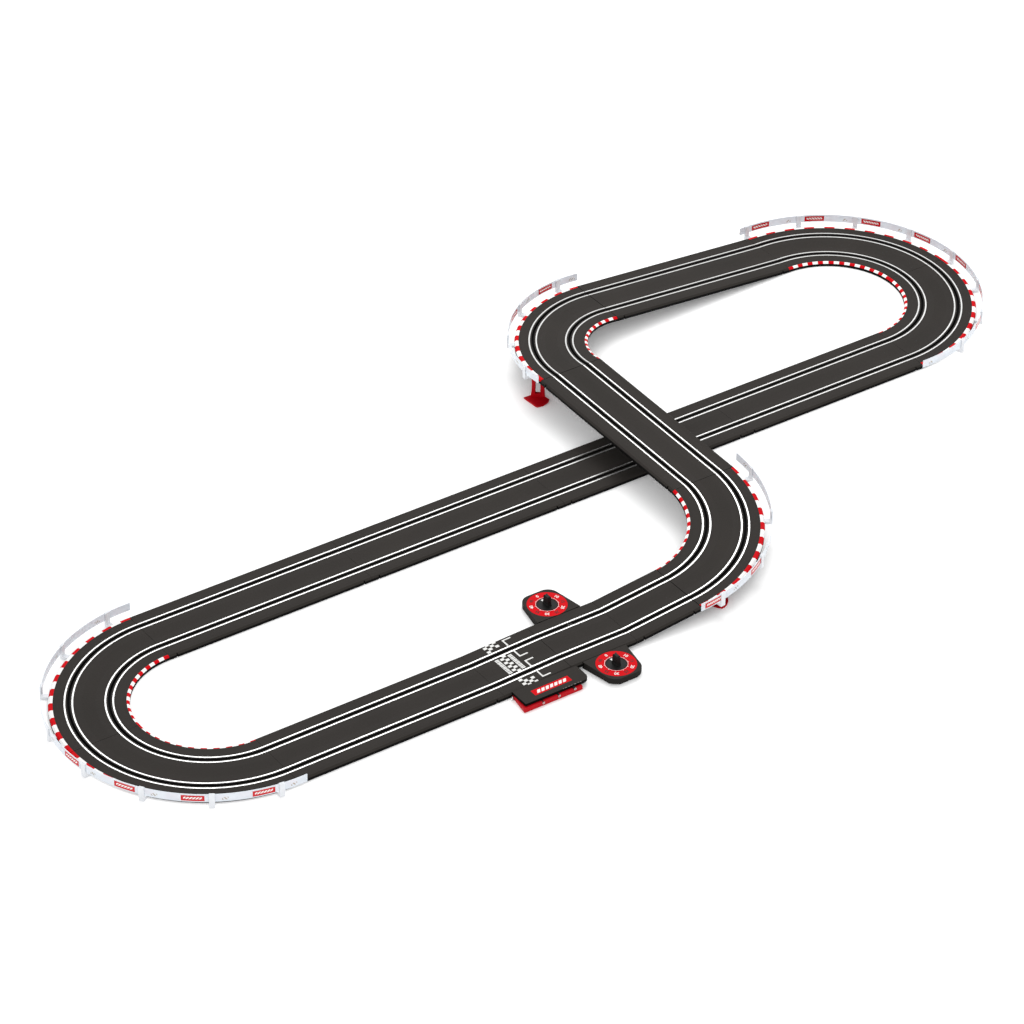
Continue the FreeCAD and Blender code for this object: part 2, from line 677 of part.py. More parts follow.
power_cover = new_body("power_cover")
cover_plate = rise(power_cover, COVER_LOW, HEIGHT,
                   [rectangle(PANEL_LEFT, PANEL_FRONT, PANEL_RIGHT, PANEL_BACK)])
round_corners(power_cover, cover_plate, [(PANEL_RIGHT, PANEL_FRONT)], size("panel_corner"))
sink(power_cover, COVER_LOW, HEIGHT - size("cover_thickness"),
     [rectangle(PANEL_LEFT + size("cover_hollow_left"), PANEL_FRONT + size("housing_wall"),
                HOUSING_RIGHT - size("cover_hollow_right"), PANEL_BACK - size("housing_wall"))])
sink(power_cover, COVER_LOW, HEIGHT - size("cover_thickness"), (),
     [(x, y, size("screw_radius")) for x, y in screw_spots])
for x in jack_spots:
    bore_along_y(power_cover, x, JACK_LEVEL, size("jack_radius") + size("jack_play"),
                 HOUSING_FRONT - CUT_OVERRUN, PANEL_FRONT + 2 * size("housing_wall"))
power_cover.Placement = power_section.placement

power_housing = new_body("power_housing")
rise(power_housing, 0, COVER_LOW, [rectangle(PANEL_LEFT, HOUSING_FRONT, HOUSING_RIGHT, PANEL_BACK)])
wall = size("housing_wall")
sink(power_housing, size("housing_floor"), COVER_LOW,
     [rectangle(PANEL_LEFT + wall, HOUSING_FRONT + wall + size("housing_step"),
                HOUSING_RIGHT - wall, PANEL_BACK - wall)])
boss = size("screw_head_radius") + size("housing_floor")
rise(power_housing, size("housing_floor") - ROOT_BITE, COVER_LOW, (),
     [(x, y, boss) for x, y in screw_spots])
sink(power_housing, 0, COVER_LOW, (),
     [(x, y, size("screw_radius") + size("screw_play")) for x, y in screw_spots])
sink(power_housing, 0, size("screw_head_height") + size("screw_play"), (),
     [(x, y, size("screw_head_radius") + size("screw_play")) for x, y in screw_spots])
for x in jack_spots:
    bore_along_y(power_housing, x, JACK_LEVEL, size("jack_radius") + size("jack_play"),
                 HOUSING_FRONT - CUT_OVERRUN, HOUSING_FRONT + size("housing_step") + 2 * wall)
power_housing.Placement = power_section.placement


def jack(label, x, piece):
    body = new_body(label, piece)
    sketch = new_sketch(body, "XZ_Plane", -(HOUSING_FRONT + size("jack_length")))
    draw_circle(sketch, x, JACK_LEVEL, size("jack_radius"))
    pad(body, sketch, size("jack_length"))
    bore_along_y(body, x, JACK_LEVEL, size("jack_bore"), HOUSING_FRONT,
                 HOUSING_FRONT + size("jack_depth"))
    body.Placement = power_section.placement
    return body


compound("controller_jacks", [jack(f"controller_jack_{n}", jack_spots[n], False) for n in (0, 1)])
jack("supply_jack", jack_spots[2], True)

contact_board = new_body("contact_board")
rise(contact_board, size("housing_floor"), size("housing_floor") + size("board_thickness"),
     [rectangle(jack_spots[0] - size("board_side_margin"),
                HOUSING_FRONT + size("jack_length") + size("board_end_gap"),
                jack_spots[2] + size("board_side_margin"), PANEL_BACK - wall - size("board_end_gap"))])
contact_board.Placement = power_section.placement


def screws(label, placement, spots, seat, tip):
    """Screws driven from below: a head in its recess and a plain shank."""
    members = []
    for number, (x, y) in enumerate(spots, start=1):
        body = new_body(f"{label}_{number}", piece=False)
        rise(body, seat, seat + size("screw_head_height"), (), [(x, y, size("screw_head_radius"))])
        rise(body, seat, tip, (), [(x, y, size("screw_radius"))])
        body.Placement = placement
        members.append(body)
    compound(label, members)


screws("housing_screws", power_section.placement, screw_spots, size("screw_play"),
       HEIGHT - size("cover_thickness") - size("screw_play"))

# ---------------------------------------------------------------------------------------------
# Lap counter: a pad on each side of the deck holds a dial, a knob on a ratchet wheel and the lever
# that a passing car trips through the slot
# ---------------------------------------------------------------------------------------------
FLOOR = -size("counter_rise")
MIDDLE = SHORT / 2
RECESS = HEIGHT - size("dial_thickness")
PAD_END = HALF_WIDTH + size("pad_reach")
PIVOT_X = MIDDLE - size("lever_pivot_back")
ACROSS = HALF_LANES + size("lever_pivot_aside")
LEVER_TOP = size("lever_base") + size("lever_thickness")
HUB_LOW = LEVER_TOP + size("lever_clear")
COVER_TOP = FLOOR + 2 * size("base_cover_thickness")
WHEEL_LOW = size("lever_base") - ROOT_BITE
DISC_LOW = RECESS + size("knob_lift")
DISC_TOP = DISC_LOW + size("knob_disc_thickness")
PAD_CUT_CORNER = size("pad_corner") * 0.6  # a straight cut that clears the pad's rounded corner
CORNER_SPREAD = 0.1  # how much of a cut corner the pad's slanting side widens over its length
cover_spots = [(-size("base_screw_aside"), size("base_screw_near")),
               (size("base_screw_aside"), size("base_screw_near")), (ZERO, size("base_screw_far"))]


def pad_outline(side, inset, corner=None):
    """The pad's trapezoid seen from above, drawn in by inset, with its outer corners cut off."""
    near = HALF_WIDTH - size("pad_wall") / 2 + inset
    far = PAD_END - inset
    half_near = size("pad_base_width") / 2 - inset
    half_far = size("pad_outer_width") / 2 - inset
    points = [(MIDDLE - half_near, side * near), (MIDDLE + half_near, side * near)]
    if corner:
        spread = corner * CORNER_SPREAD
        points += [(MIDDLE + half_far + spread, side * (far - corner)),
                   (MIDDLE + half_far - corner, side * far),
                   (MIDDLE - half_far + corner, side * far),
                   (MIDDLE - half_far - spread, side * (far - corner))]
    else:
        points += [(MIDDLE + half_far, side * far), (MIDDLE - half_far, side * far)]
    return points


for side in (-1, 1):
    dial_y = side * size("dial_offset")
    pad_block = rise(counter_deck, FLOOR, HEIGHT, [pad_outline(side, 0)])
    half_far = size("pad_outer_width") / 2
    round_corners(counter_deck, pad_block, [(MIDDLE - half_far, side * PAD_END),
                                            (MIDDLE + half_far, side * PAD_END)], size("pad_corner"))
    sink(counter_deck, FLOOR, PLATE_UNDER,
         [pad_outline(side, size("pad_wall"), PAD_CUT_CORNER)])
    bosses = [(MIDDLE + x, side * (HALF_WIDTH + y), size("screw_head_radius") + size("boss_wall"))
              for x, y in cover_spots]
    rise(counter_deck, COVER_TOP, PLATE_UNDER + ROOT_BITE, (), bosses)
    rise(counter_deck, HUB_LOW, PLATE_UNDER + ROOT_BITE, (),
         [(MIDDLE, dial_y, size("knob_shaft_radius") * 2),
          (PIVOT_X, side * ACROSS, size("lever_hub_radius"))])
    sink(counter_deck, COVER_TOP, PLATE_UNDER - ROOT_BITE, (),
         [(x, y, size("screw_radius")) for x, y, _ in bosses])
    sink(counter_deck, RECESS, HEIGHT, (), [(MIDDLE, dial_y, size("dial_radius") + size("dial_play"))])
    sink(counter_deck, FLOOR, HEIGHT, (),
         [(MIDDLE, dial_y, size("knob_shaft_radius") + size("knob_running_play"))])
    sink(counter_deck, HUB_LOW, PLATE_UNDER + size("pin_seat"), (),
         [(PIVOT_X, side * ACROSS, size("lever_pin_radius"))])
    # windows for the lever: one into the slot's channel, one through the skirt
    slot_side = side * (HALF_LANES - size("slot_width") / 2)
    channel_side = side * (HALF_LANES + size("slot_width") / 2 + size("channel_wall") + ROOT_BITE)
    skirt_in = side * (HALF_WIDTH - size("skirt_thickness") - ROOT_BITE)
    skirt_out = side * (HALF_WIDTH + size("pad_wall") / 2 + ROOT_BITE + CUT_OVERRUN)
    sink(counter_deck, FLOOR, PLATE_UNDER,
         [rectangle(MIDDLE - size("finger_length"), slot_side,
                    MIDDLE + size("finger_length"), channel_side),
          rectangle(PIVOT_X + size("window_near"), skirt_in,
                    PIVOT_X + size("window_far"), skirt_out)])

# the lever's tail runs from its pivot towards the ratchet wheel's middle and ends short of the teeth
ARM = size("lever_arm_width")
TAIL_BACK = size("lever_pivot_back")
TAIL_AWAY = size("dial_offset") - ACROSS
PIVOT_TO_DIAL = slant(TAIL_BACK, TAIL_AWAY)
TAIL = PIVOT_TO_DIAL - size("ratchet_radius") - size("lever_clear")
FINGER_LOW = HALF_LANES - size("slot_width") / 6
FINGER_HALF = size("finger_length") / 2


def tail_corner(side, along, aside):
    """A corner of the tail: along is 0 at the pivot and 1 at the tip, aside is -1 or 1."""
    step_x = TAIL_BACK / PIVOT_TO_DIAL
    step_y = TAIL_AWAY / PIVOT_TO_DIAL
    x = PIVOT_X + TAIL * step_x * along + ARM / 2 * step_y * aside
    y = ACROSS + TAIL * step_y * along - ARM / 2 * step_x * aside
    return x, side * y


def ratchet_outline(side, dial_y):
    """Saw teeth that lean against the way the lever pushes."""
    teeth = int(mm(size("ratchet_teeth")))
    step = 2 * math.pi / teeth
    outline = []
    for tooth in range(teeth):
        root = step * tooth
        tip = root + step * mm(size("ratchet_lean"))
        for reach, angle in ((size("ratchet_root"), root), (size("ratchet_radius"), tip)):
            outline.append((MIDDLE + reach * math.cos(angle),
                            dial_y + reach * (-side * math.sin(angle))))
    return outline


dials = []
for name, side in (("front", -1), ("back", 1)):
    dial_y = side * size("dial_offset")
    dial = new_body(f"counter_dial_{name}", piece=False)
    rise(dial, RECESS, HEIGHT, (), [(MIDDLE, dial_y, size("dial_radius"))])
    sink(dial, RECESS, HEIGHT, (), [(MIDDLE, dial_y, size("dial_hole_radius"))])
    dial.Placement = counter_section.placement
    dials.append(dial)

    knob = new_body(f"counter_knob_{name}")
    rise(knob, DISC_LOW, DISC_TOP, (),
         [(MIDDLE, dial_y, size("dial_hole_radius") - size("knob_disc_play"))])
    rise(knob, WHEEL_LOW, DISC_LOW + ROOT_BITE, (), [(MIDDLE, dial_y, size("knob_shaft_radius"))])
    long = size("grip_length") / 2
    wide = size("grip_width") / 2
    grip = level_sketch(knob, DISC_TOP - ROOT_BITE, [[
        (MIDDLE, dial_y + long), (MIDDLE - wide, dial_y + long / 3),
        (MIDDLE - wide, dial_y - long / 2), (MIDDLE - wide / 3, dial_y - long),
        (MIDDLE + wide / 3, dial_y - long), (MIDDLE + wide, dial_y - long / 2),
        (MIDDLE + wide, dial_y + long / 3)]])
    pad(knob, grip, size("grip_height"), taper=size("grip_taper"))
    knob.Placement = counter_section.placement

    wheel = new_body(f"ratchet_wheel_{name}")
    rise(wheel, WHEEL_LOW, LEVER_TOP, [ratchet_outline(side, dial_y)])
    sink(wheel, WHEEL_LOW, LEVER_TOP, (), [(MIDDLE, dial_y, size("knob_shaft_radius"))])
    wheel.Placement = counter_section.placement

    # bell crank: a finger that stands in the slot, a hub on its pin and a tail to the ratchet wheel
    lever = new_body(f"trip_lever_{name}")
    rise(lever, size("lever_base"), LEVER_TOP, (),
         [(PIVOT_X, side * ACROSS, size("lever_hub_radius"))])
    rise(lever, size("lever_base"), LEVER_TOP,
         [[tail_corner(side, 0, -1), tail_corner(side, 0, 1),
           tail_corner(side, 1, 1), tail_corner(side, 1, -1)]])
    rise(lever, size("lever_base"), LEVER_TOP,
         [rectangle(PIVOT_X, side * (ACROSS - ARM), MIDDLE + FINGER_HALF, side * ACROSS)])
    rise(lever, size("lever_base"), size("finger_top"),
         [[(MIDDLE - FINGER_HALF, side * (ACROSS - ARM / 2)),
           (MIDDLE - FINGER_HALF, side * (FINGER_LOW + size("slot_width") / 2)),
           (MIDDLE, side * FINGER_LOW), (MIDDLE + FINGER_HALF, side * FINGER_LOW),
           (MIDDLE + FINGER_HALF, side * (ACROSS - ARM / 2))]])
    sink(lever, size("lever_base"), LEVER_TOP, (),
         [(PIVOT_X, side * ACROSS, size("lever_pin_radius") + size("knob_running_play"))])
    lever.Placement = counter_section.placement
compound("counter_dials", dials)

PIN_SHOULDER = size("lever_base") - size("lever_clear")
pins = []
covers = []
counter_screw_spots = []
for side in (-1, 1):
    pin = new_body(f"lever_pin_{2 + side}", piece=False)
    rise(pin, PIN_SHOULDER - size("pin_head_height"), PIN_SHOULDER, (),
         [(PIVOT_X, side * ACROSS, size("lever_hub_radius"))])
    rise(pin, PIN_SHOULDER - ROOT_BITE, PLATE_UNDER + size("pin_seat"), (),
         [(PIVOT_X, side * ACROSS, size("lever_pin_radius"))])
    pin.Placement = counter_section.placement
    pins.append(pin)

    cover = new_body(f"counter_base_{2 + side}", piece=False)
    rise(cover, FLOOR, COVER_TOP,
         [pad_outline(side, size("pad_wall") + size("dial_play"), PAD_CUT_CORNER)])
    spots = [(MIDDLE + x, side * (HALF_WIDTH + y)) for x, y in cover_spots]
    sink(cover, FLOOR, COVER_TOP, (),
         [(x, y, size("screw_radius") + size("screw_play")) for x, y in spots])
    sink(cover, FLOOR, FLOOR + size("screw_head_height") + size("screw_play"), (),
         [(x, y, size("screw_head_radius") + size("screw_play")) for x, y in spots])
    cover.Placement = counter_section.placement
    covers.append(cover)
    counter_screw_spots += spots
compound("lever_pins", pins)
compound("counter_base_covers", covers)
screws("counter_screws", counter_section.placement, counter_screw_spots,
       FLOOR + size("screw_play"), PLATE_UNDER - size("pin_seat"))

# ---------------------------------------------------------------------------------------------
# Check every object, then write one file for each piece
# ---------------------------------------------------------------------------------------------
doc.recompute()
faults = [f"{thing.Label}: {thing.State}" for thing in doc.Objects
          if "Invalid" in thing.State or "Error" in thing.State]
for piece in PIECES:
    if piece.Shape.isNull() or not piece.Shape.isValid():
        faults.append(f"{piece.Label}: bad shape")
if faults:
    raise RuntimeError("; ".join(faults))
os.makedirs("parts", exist_ok=True)
for piece in PIECES:
    piece.Shape.exportStep(f"parts/{piece.Label}.step")
    print(piece.Label, len(piece.Shape.Solids), round(piece.Shape.Volume, 1))
print(len(PIECES), "nodes")
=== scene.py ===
import math

import bmesh
import bpy
from mathutils import Matrix, Vector


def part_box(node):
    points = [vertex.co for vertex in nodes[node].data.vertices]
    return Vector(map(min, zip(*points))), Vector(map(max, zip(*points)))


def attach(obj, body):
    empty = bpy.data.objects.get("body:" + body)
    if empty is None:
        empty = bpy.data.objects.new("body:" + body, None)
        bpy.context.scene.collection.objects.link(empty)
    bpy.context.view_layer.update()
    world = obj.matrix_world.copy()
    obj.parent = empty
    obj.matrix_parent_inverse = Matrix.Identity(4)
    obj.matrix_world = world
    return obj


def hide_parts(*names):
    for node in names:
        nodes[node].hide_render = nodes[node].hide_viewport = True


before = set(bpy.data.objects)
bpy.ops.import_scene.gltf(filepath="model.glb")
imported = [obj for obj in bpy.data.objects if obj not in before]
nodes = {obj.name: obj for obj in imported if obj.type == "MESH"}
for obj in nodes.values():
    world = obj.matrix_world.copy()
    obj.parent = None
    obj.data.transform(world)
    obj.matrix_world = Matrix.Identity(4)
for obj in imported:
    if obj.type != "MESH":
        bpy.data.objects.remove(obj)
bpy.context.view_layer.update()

# ---------------------------------------------------------------------------------------------
# Camera.  It stands well back on the near left side, 35 degrees above the floor, with a long lens,
# so the two loops keep nearly the same scale.
# ---------------------------------------------------------------------------------------------
AIM = Vector((-0.0782, -0.0054, 0.007))
AZIMUTH, ELEVATION, ROLL = -34.867, 34.893, 0.6424
STAND_OFF = 6.5092
SENSOR, LENS = 36.0, 154.05

camera_data = bpy.data.cameras.new("camera")
camera_data.sensor_width = SENSOR
camera_data.lens = LENS
camera = bpy.data.objects.new("camera", camera_data)
turn = (Matrix.Rotation(math.radians(AZIMUTH), 4, "Z")
        @ Matrix.Rotation(math.radians(90 - ELEVATION), 4, "X")
        @ Matrix.Rotation(math.radians(ROLL), 4, "Z"))
camera.matrix_world = Matrix.Translation(AIM + turn.to_3x3() @ Vector((0, 0, STAND_OFF))) @ turn
bpy.context.scene.collection.objects.link(camera)
bpy.context.scene.camera = camera

# ---------------------------------------------------------------------------------------------
# Studio.  A white room light fills every side, one large soft box hangs above and beyond the
# layout, and a smaller one stands behind the camera.
# ---------------------------------------------------------------------------------------------
ROOM_LIGHT = 0.95
SOFT_BOXES = {  # place and side in metres, power in watts
    "overhead_box": ((1.2, 1.6, 3.0), 2.4, 62.0),
    "front_box": ((-2.6, -3.2, 2.2), 2.0, 18.0),
}

world = bpy.data.worlds.new("studio")
world.use_nodes = True
backdrop = world.node_tree.nodes["Background"]
backdrop.inputs["Color"].default_value = (1.0, 1.0, 1.0, 1.0)
backdrop.inputs["Strength"].default_value = ROOM_LIGHT
bpy.context.scene.world = world
bpy.context.scene.view_settings.view_transform = "Standard"
for label, (spot, side, power) in SOFT_BOXES.items():
    lamp_data = bpy.data.lights.new(label, "AREA")
    lamp_data.shape = "SQUARE"
    lamp_data.size = side
    lamp_data.energy = power
    lamp = bpy.data.objects.new(label, lamp_data)
    facing = (AIM - Vector(spot)).to_track_quat("-Z", "Y")
    lamp.matrix_world = Matrix.Translation(spot) @ facing.to_matrix().to_4x4()
    bpy.context.scene.collection.objects.link(lamp)

# ---------------------------------------------------------------------------------------------
# Floor.  One wide sheet of matt white acrylic, lit softly from below, level with the undersides
# of the decks.
# ---------------------------------------------------------------------------------------------
FLOOR_REACH = 14.0
FLOOR_DROP = 0.0002  # keeps the sheet clear of the undersides
FLOOR_WHITE = (0.93, 0.93, 0.93, 1.0)
UNDER_LIGHT = 0.12


def new_piece(label, form, *finishes):
    """Turn a finished bmesh into an object at the origin, with its materials."""
    mesh = bpy.data.meshes.new(label)
    form.normal_update()
    form.to_mesh(mesh)
    form.free()
    for finish in finishes:
        mesh.materials.append(finish)
    piece = bpy.data.objects.new(label, mesh)
    bpy.context.scene.collection.objects.link(piece)
    return piece


floor_paint = bpy.data.materials.new("floor_acrylic")
floor_paint.use_nodes = True
floor_shader = floor_paint.node_tree.nodes["Principled BSDF"].inputs
floor_shader["Base Color"].default_value = FLOOR_WHITE
floor_shader["Emission Color"].default_value = (1.0, 1.0, 1.0, 1.0)
floor_shader["Emission Strength"].default_value = UNDER_LIGHT
floor_shader["Roughness"].default_value = 0.9
floor_shader["Specular IOR Level"].default_value = 0.1
form = bmesh.new()
bmesh.ops.create_grid(form, x_segments=1, y_segments=1, size=FLOOR_REACH)
bmesh.ops.translate(form, verts=form.verts, vec=(0, 0, -FLOOR_DROP))
new_piece("floor", form, floor_paint)

# ---------------------------------------------------------------------------------------------
# Straight decks.  Dark grey ABS mouldings with a fine sand grain and a faintly cloudy shade.  The
# slots are deep and take no light, so they are painted near black as shade; the skirts are painted
# darker as shade; and tongues at the ends hold the decks together.
# ---------------------------------------------------------------------------------------------
LANE = 0.0285  # from a deck's middle line to each slot
HALF_DECK = 0.057
SLOT_HALF = 0.0022
TYRE_ASIDE, TYRE_HALF = 0.015, 0.004  # the smoother lines that tyres leave on each side of a slot
SKIRT_SLOPE = 0.6  # a face that looks up less than this is part of a skirt
ASPHALT_DARK = (0.0160, 0.0143, 0.0128, 1.0)
ASPHALT_LIGHT = (0.0420, 0.0370, 0.0334, 1.0)
SLOT_PAINTED_SHADE = (0.003, 0.003, 0.003, 1.0)
SKIRT_PAINTED_SHADE = (0.0022, 0.0020, 0.0019, 1.0)


class Wire:
    """A value in a material's node tree.  Arithmetic on it adds the Math nodes that work it out."""

    def __init__(self, tree, socket=None):
        self.tree = tree
        self.socket = socket

    def node(self, kind, settings=None, sockets=None, output=0):
        """Add a node: its settings first, then the values or links of its sockets."""
        made = self.tree.nodes.new("ShaderNode" + kind)
        for name, value in (settings or {}).items():
            setattr(made, name, value)
        for name, value in (sockets or {}).items():
            if isinstance(value, Wire):
                self.tree.links.new(value.socket, made.inputs[name])
            else:
                made.inputs[name].default_value = value
        return Wire(self.tree, made.outputs[output])

    def feed(self, socket):
        self.tree.links.new(self.socket, socket)

    def split(self):
        parts = self.node("SeparateXYZ", sockets={0: self}).socket.node.outputs
        return [Wire(self.tree, part) for part in parts]

    def math(self, operation, *values):
        return self.node("Math", {"operation": operation}, dict(enumerate(values)))

    def __add__(self, other):
        return self.math("ADD", self, other)

    def __sub__(self, other):
        return self.math("SUBTRACT", self, other)

    def __rsub__(self, other):
        return self.math("SUBTRACT", other, self)

    def __mul__(self, other):
        return self.math("MULTIPLY", self, other)

    def __truediv__(self, other):
        return self.math("DIVIDE", self, other)

    def __mod__(self, other):
        return self.math("FLOORED_MODULO", self, other)

    def __pow__(self, other):
        return self.math("POWER", self, other)

    def __lt__(self, other):
        return self.math("LESS_THAN", self, other)

    def __gt__(self, other):
        return self.math("GREATER_THAN", self, other)

    def __and__(self, other):
        return self.math("MINIMUM", self, other)

    def __or__(self, other):
        return self.math("MAXIMUM", self, other)

    def __abs__(self):
        return self.math("ABSOLUTE", self)

    __radd__ = __add__
    __rmul__ = __mul__

    def between(self, low, high):
        return (self > low) & (self < high)

    def noise(self, scale, detail=2.0):
        """Cloudy noise at this place, about 0.5 in the middle."""
        return self.node("TexNoise", sockets={"Vector": self, "Scale": scale, "Detail": detail})

    def choose(self, colour_off, colour_on):
        """One colour where this is 0, the other where it is 1."""
        return self.node("Mix", {"data_type": "RGBA"}, {0: self, 6: colour_off, 7: colour_on}, 2)

    def bump(self, depth, strength=1.0):
        """A normal from this height, for a relief of the given depth in metres."""
        return self.node("Bump", sockets={"Height": self, "Distance": depth, "Strength": strength})


def new_finish(label, constants=None):
    """A material: itself, a wire to build on, the place on the piece, and its shader's sockets."""
    finish = bpy.data.materials.new(label)
    finish.use_nodes = True
    shader = finish.node_tree.nodes["Principled BSDF"].inputs
    for socket, value in (constants or {}).items():
        shader[socket].default_value = value
    wires = Wire(finish.node_tree)
    return finish, wires, wires.node("TexCoord", output="Object"), shader


def deck_finish(label, from_middle, decorate=None):
    """The deck plastic.  from_middle works out the distance from the deck's middle line, and
    decorate paints prints over the bare colour."""
    finish, wires, place, shader = new_finish(label, {"Specular IOR Level": 0.06})
    x, y, _ = place.split()
    up = wires.node("NewGeometry", output="Normal").split()[2]
    across = abs(from_middle(x, y))
    cloud = place.noise(9.0, 4.0)
    sand = place.noise(950.0, 1.0)
    fleck = place.noise(420.0, 2.0)
    colour = (cloud * 0.55 + sand * 0.3 + fleck * 0.25 - 0.05).choose(ASPHALT_DARK, ASPHALT_LIGHT)
    # faces that look up little, the skirts, are painted darker than the plastic as painted shade
    colour = (up < SKIRT_SLOPE).choose(colour, SKIRT_PAINTED_SHADE)
    if decorate:
        colour = decorate(colour, x, y, up, fleck)
    # the deep slots are painted near black as painted shade
    in_slot = (abs(across - LANE) < SLOT_HALF) & (up > -0.5)
    colour = in_slot.choose(colour, SLOT_PAINTED_SHADE)
    colour.feed(shader["Base Color"])
    tyre_line = (abs(abs(across - LANE) - TYRE_ASIDE) < TYRE_HALF) * 0.05
    (cloud * 0.16 + fleck * 0.12 + 0.5 - tyre_line).feed(shader["Roughness"])
    (sand + fleck * 0.6).bump(0.00022, 0.55).feed(shader["Normal"])
    return finish


def dress(finish, *names):
    """Give a carried-over node its finish in every material slot."""
    for name in names:
        mesh = nodes[name].data
        if not mesh.materials:
            mesh.materials.append(finish)
        for number in range(len(mesh.materials)):
            mesh.materials[number] = finish


def middle_of(name, axis):
    low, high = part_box(name)
    return (low[axis] + high[axis]) / 2


def level_line(name):
    """Distance from the middle line of a deck that runs along X."""
    line = middle_of(name, 1)
    return lambda x, y: y - line


dress(deck_finish("long_straight_plastic", level_line("long_straight_1")),
      "long_straight_1", "long_straight_2", "long_straight_3", "long_straight_4")
for name in ("ramp_straight", "home_straight", "short_straight"):
    dress(deck_finish(name + "_plastic", level_line(name)), name)
bridge_line = middle_of("bridge_straight", 0)
dress(deck_finish("bridge_straight_plastic", lambda x, y: x - bridge_line), "bridge_straight")

# ---------------------------------------------------------------------------------------------
# Curves.  The same plastic, with red and white kerb blocks printed along both edges: twenty-one to
# a quarter turn, red at both ends, a wide band outside and a narrow one inside.
# ---------------------------------------------------------------------------------------------
CURVE_RADIUS = 0.171
KERB_OUTER, KERB_INNER = 0.2215, 0.1184
KERB_BLOCKS = 21
KERB_RED = (0.58, 0.001, 0.006, 1.0)
KERB_WHITE = (0.90, 0.90, 0.89, 1.0)


def kerbed_finish(label, centre):
    centre_x, centre_y = centre

    def radius(x, y):
        return ((x - centre_x) ** 2 + (y - centre_y) ** 2) ** 0.5

    def kerbs(colour, x, y, up, fleck):
        turn = (y - centre_y).math("ARCTAN2", y - centre_y, x - centre_x) / (math.pi / 2) % 1.0
        red = (turn * KERB_BLOCKS) % 2.0 < 1.0
        band = (radius(x, y) > KERB_OUTER) | (radius(x, y) < KERB_INNER)
        ink = red.choose(KERB_WHITE, KERB_RED)
        worn = (band & (up > 0.5)) * (0.93 + fleck * 0.1)
        return worn.choose(colour, ink)

    return deck_finish(label, lambda x, y: radius(x, y) - CURVE_RADIUS, kerbs)


left_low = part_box("left_curve_near")[0]
right_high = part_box("right_curve_far")[1]
climb_low, climb_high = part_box("climbing_curve")
fall_low, fall_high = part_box("falling_curve")
OUTER_RADIUS = CURVE_RADIUS + HALF_DECK
LEFT_CENTRE = (left_low[0] + OUTER_RADIUS, left_low[1] + OUTER_RADIUS)
RIGHT_CENTRE = (right_high[0] - OUTER_RADIUS, right_high[1] - OUTER_RADIUS)
CLIMB_CENTRE = (climb_low[0] + OUTER_RADIUS, climb_high[1] - OUTER_RADIUS)
FALL_CENTRE = (fall_high[0] - OUTER_RADIUS, fall_low[1] + OUTER_RADIUS)
dress(kerbed_finish("left_loop_plastic", LEFT_CENTRE), "left_curve_far", "left_curve_near")
dress(kerbed_finish("right_loop_plastic", RIGHT_CENTRE), "right_curve_far", "right_curve_near")
dress(kerbed_finish("climbing_curve_plastic", CLIMB_CENTRE), "climbing_curve")
dress(kerbed_finish("falling_curve_plastic", FALL_CENTRE), "falling_curve")

# ---------------------------------------------------------------------------------------------
# Power section deck.  Printed in white: a chequered line between the lanes with a row of small
# bars on each side, chequers on both borders, and corner marks for the grid places.
# ---------------------------------------------------------------------------------------------
MM = 0.001
PRINT_WHITE = (0.78, 0.78, 0.76, 1.0)
power_low, power_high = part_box("power_section_deck")
GRID_START = power_low[0] + 8 * MM + 0.00015  # the seam; the deck's tongues reach 8 mm past it
HOME_LINE = (power_low[1] + power_high[1]) / 2
SQUARE_LONG, SQUARE_WIDE = 5.8 * MM, 5.0 * MM
BORDER_START, BORDER_INNER = 35.3 * MM, 36.8 * MM
LINE_START, LINE_HALF, LINE_SQUARES = 41.1 * MM, 21.9 * MM, 9
BAR_PITCH, BARS_HALF = 6.4 * MM, 19.2 * MM
BAR_ROWS = ((32.9 * MM, 39.2 * MM), (55.0 * MM, 61.4 * MM))
MARK_START, MARK_END, MARK_WIDTH = 67.7 * MM, 82.4 * MM, 2.4 * MM
MARK_INNER, MARK_OUTER, MARK_BORDER = 6.7 * MM, 50.4 * MM, 36.0 * MM


def grid_prints(colour, x, y, up, fleck):
    along = x - GRID_START
    across = y - HOME_LINE
    side = abs(across)
    # border chequers: four squares by four, without the one beside the rail in the third column
    column = (along - BORDER_START) / SQUARE_LONG
    row = (side - BORDER_INNER) / SQUARE_WIDE
    odd = (column.math("FLOOR", column) + row.math("FLOOR", row)) % 2.0
    missing = column.between(2, 3) & row.between(0, 1)
    border = column.between(0, 4) & row.between(0, 4) & (odd < 0.5) & (1 - missing)
    # chequered line: two columns of nine squares between the inner rails
    line_column = (along - LINE_START) / SQUARE_LONG
    line_row = (across + LINE_HALF) / (2 * LINE_HALF / LINE_SQUARES)
    line_odd = (line_column.math("FLOOR", line_column) + line_row.math("FLOOR", line_row)) % 2.0
    line = line_column.between(0, 2) & line_row.between(0, LINE_SQUARES) & (line_odd > 0.5)
    # a row of slotted bars on each side of the line
    bar = (across / BAR_PITCH) % 1.0
    notch = bar.between(0.34, 0.5) & ((along * 400.0) % 1.0 > 0.35)
    rows = along.between(*BAR_ROWS[0]) | along.between(*BAR_ROWS[1])
    bars = rows & (side < BARS_HALF) & (bar < 0.84) & (1 - notch)
    # corner marks: a bar across each half lane and a short arm along the road
    arm = (abs(side - MARK_OUTER) < MARK_WIDTH / 2) | (abs(side - MARK_INNER) < MARK_WIDTH / 2)
    arms = arm & along.between(MARK_START, MARK_END)
    post = side.between(MARK_INNER, LINE_HALF) | side.between(MARK_BORDER, MARK_OUTER)
    posts = post & along.between(MARK_START, MARK_START + MARK_WIDTH)
    ink = (border | line | bars | arms | posts) & (up > 0.5)
    return (ink * (0.9 + fleck * 0.12)).choose(colour, PRINT_WHITE)


dress(deck_finish("power_section_plastic", lambda x, y: y - HOME_LINE, grid_prints),
      "power_section_deck")

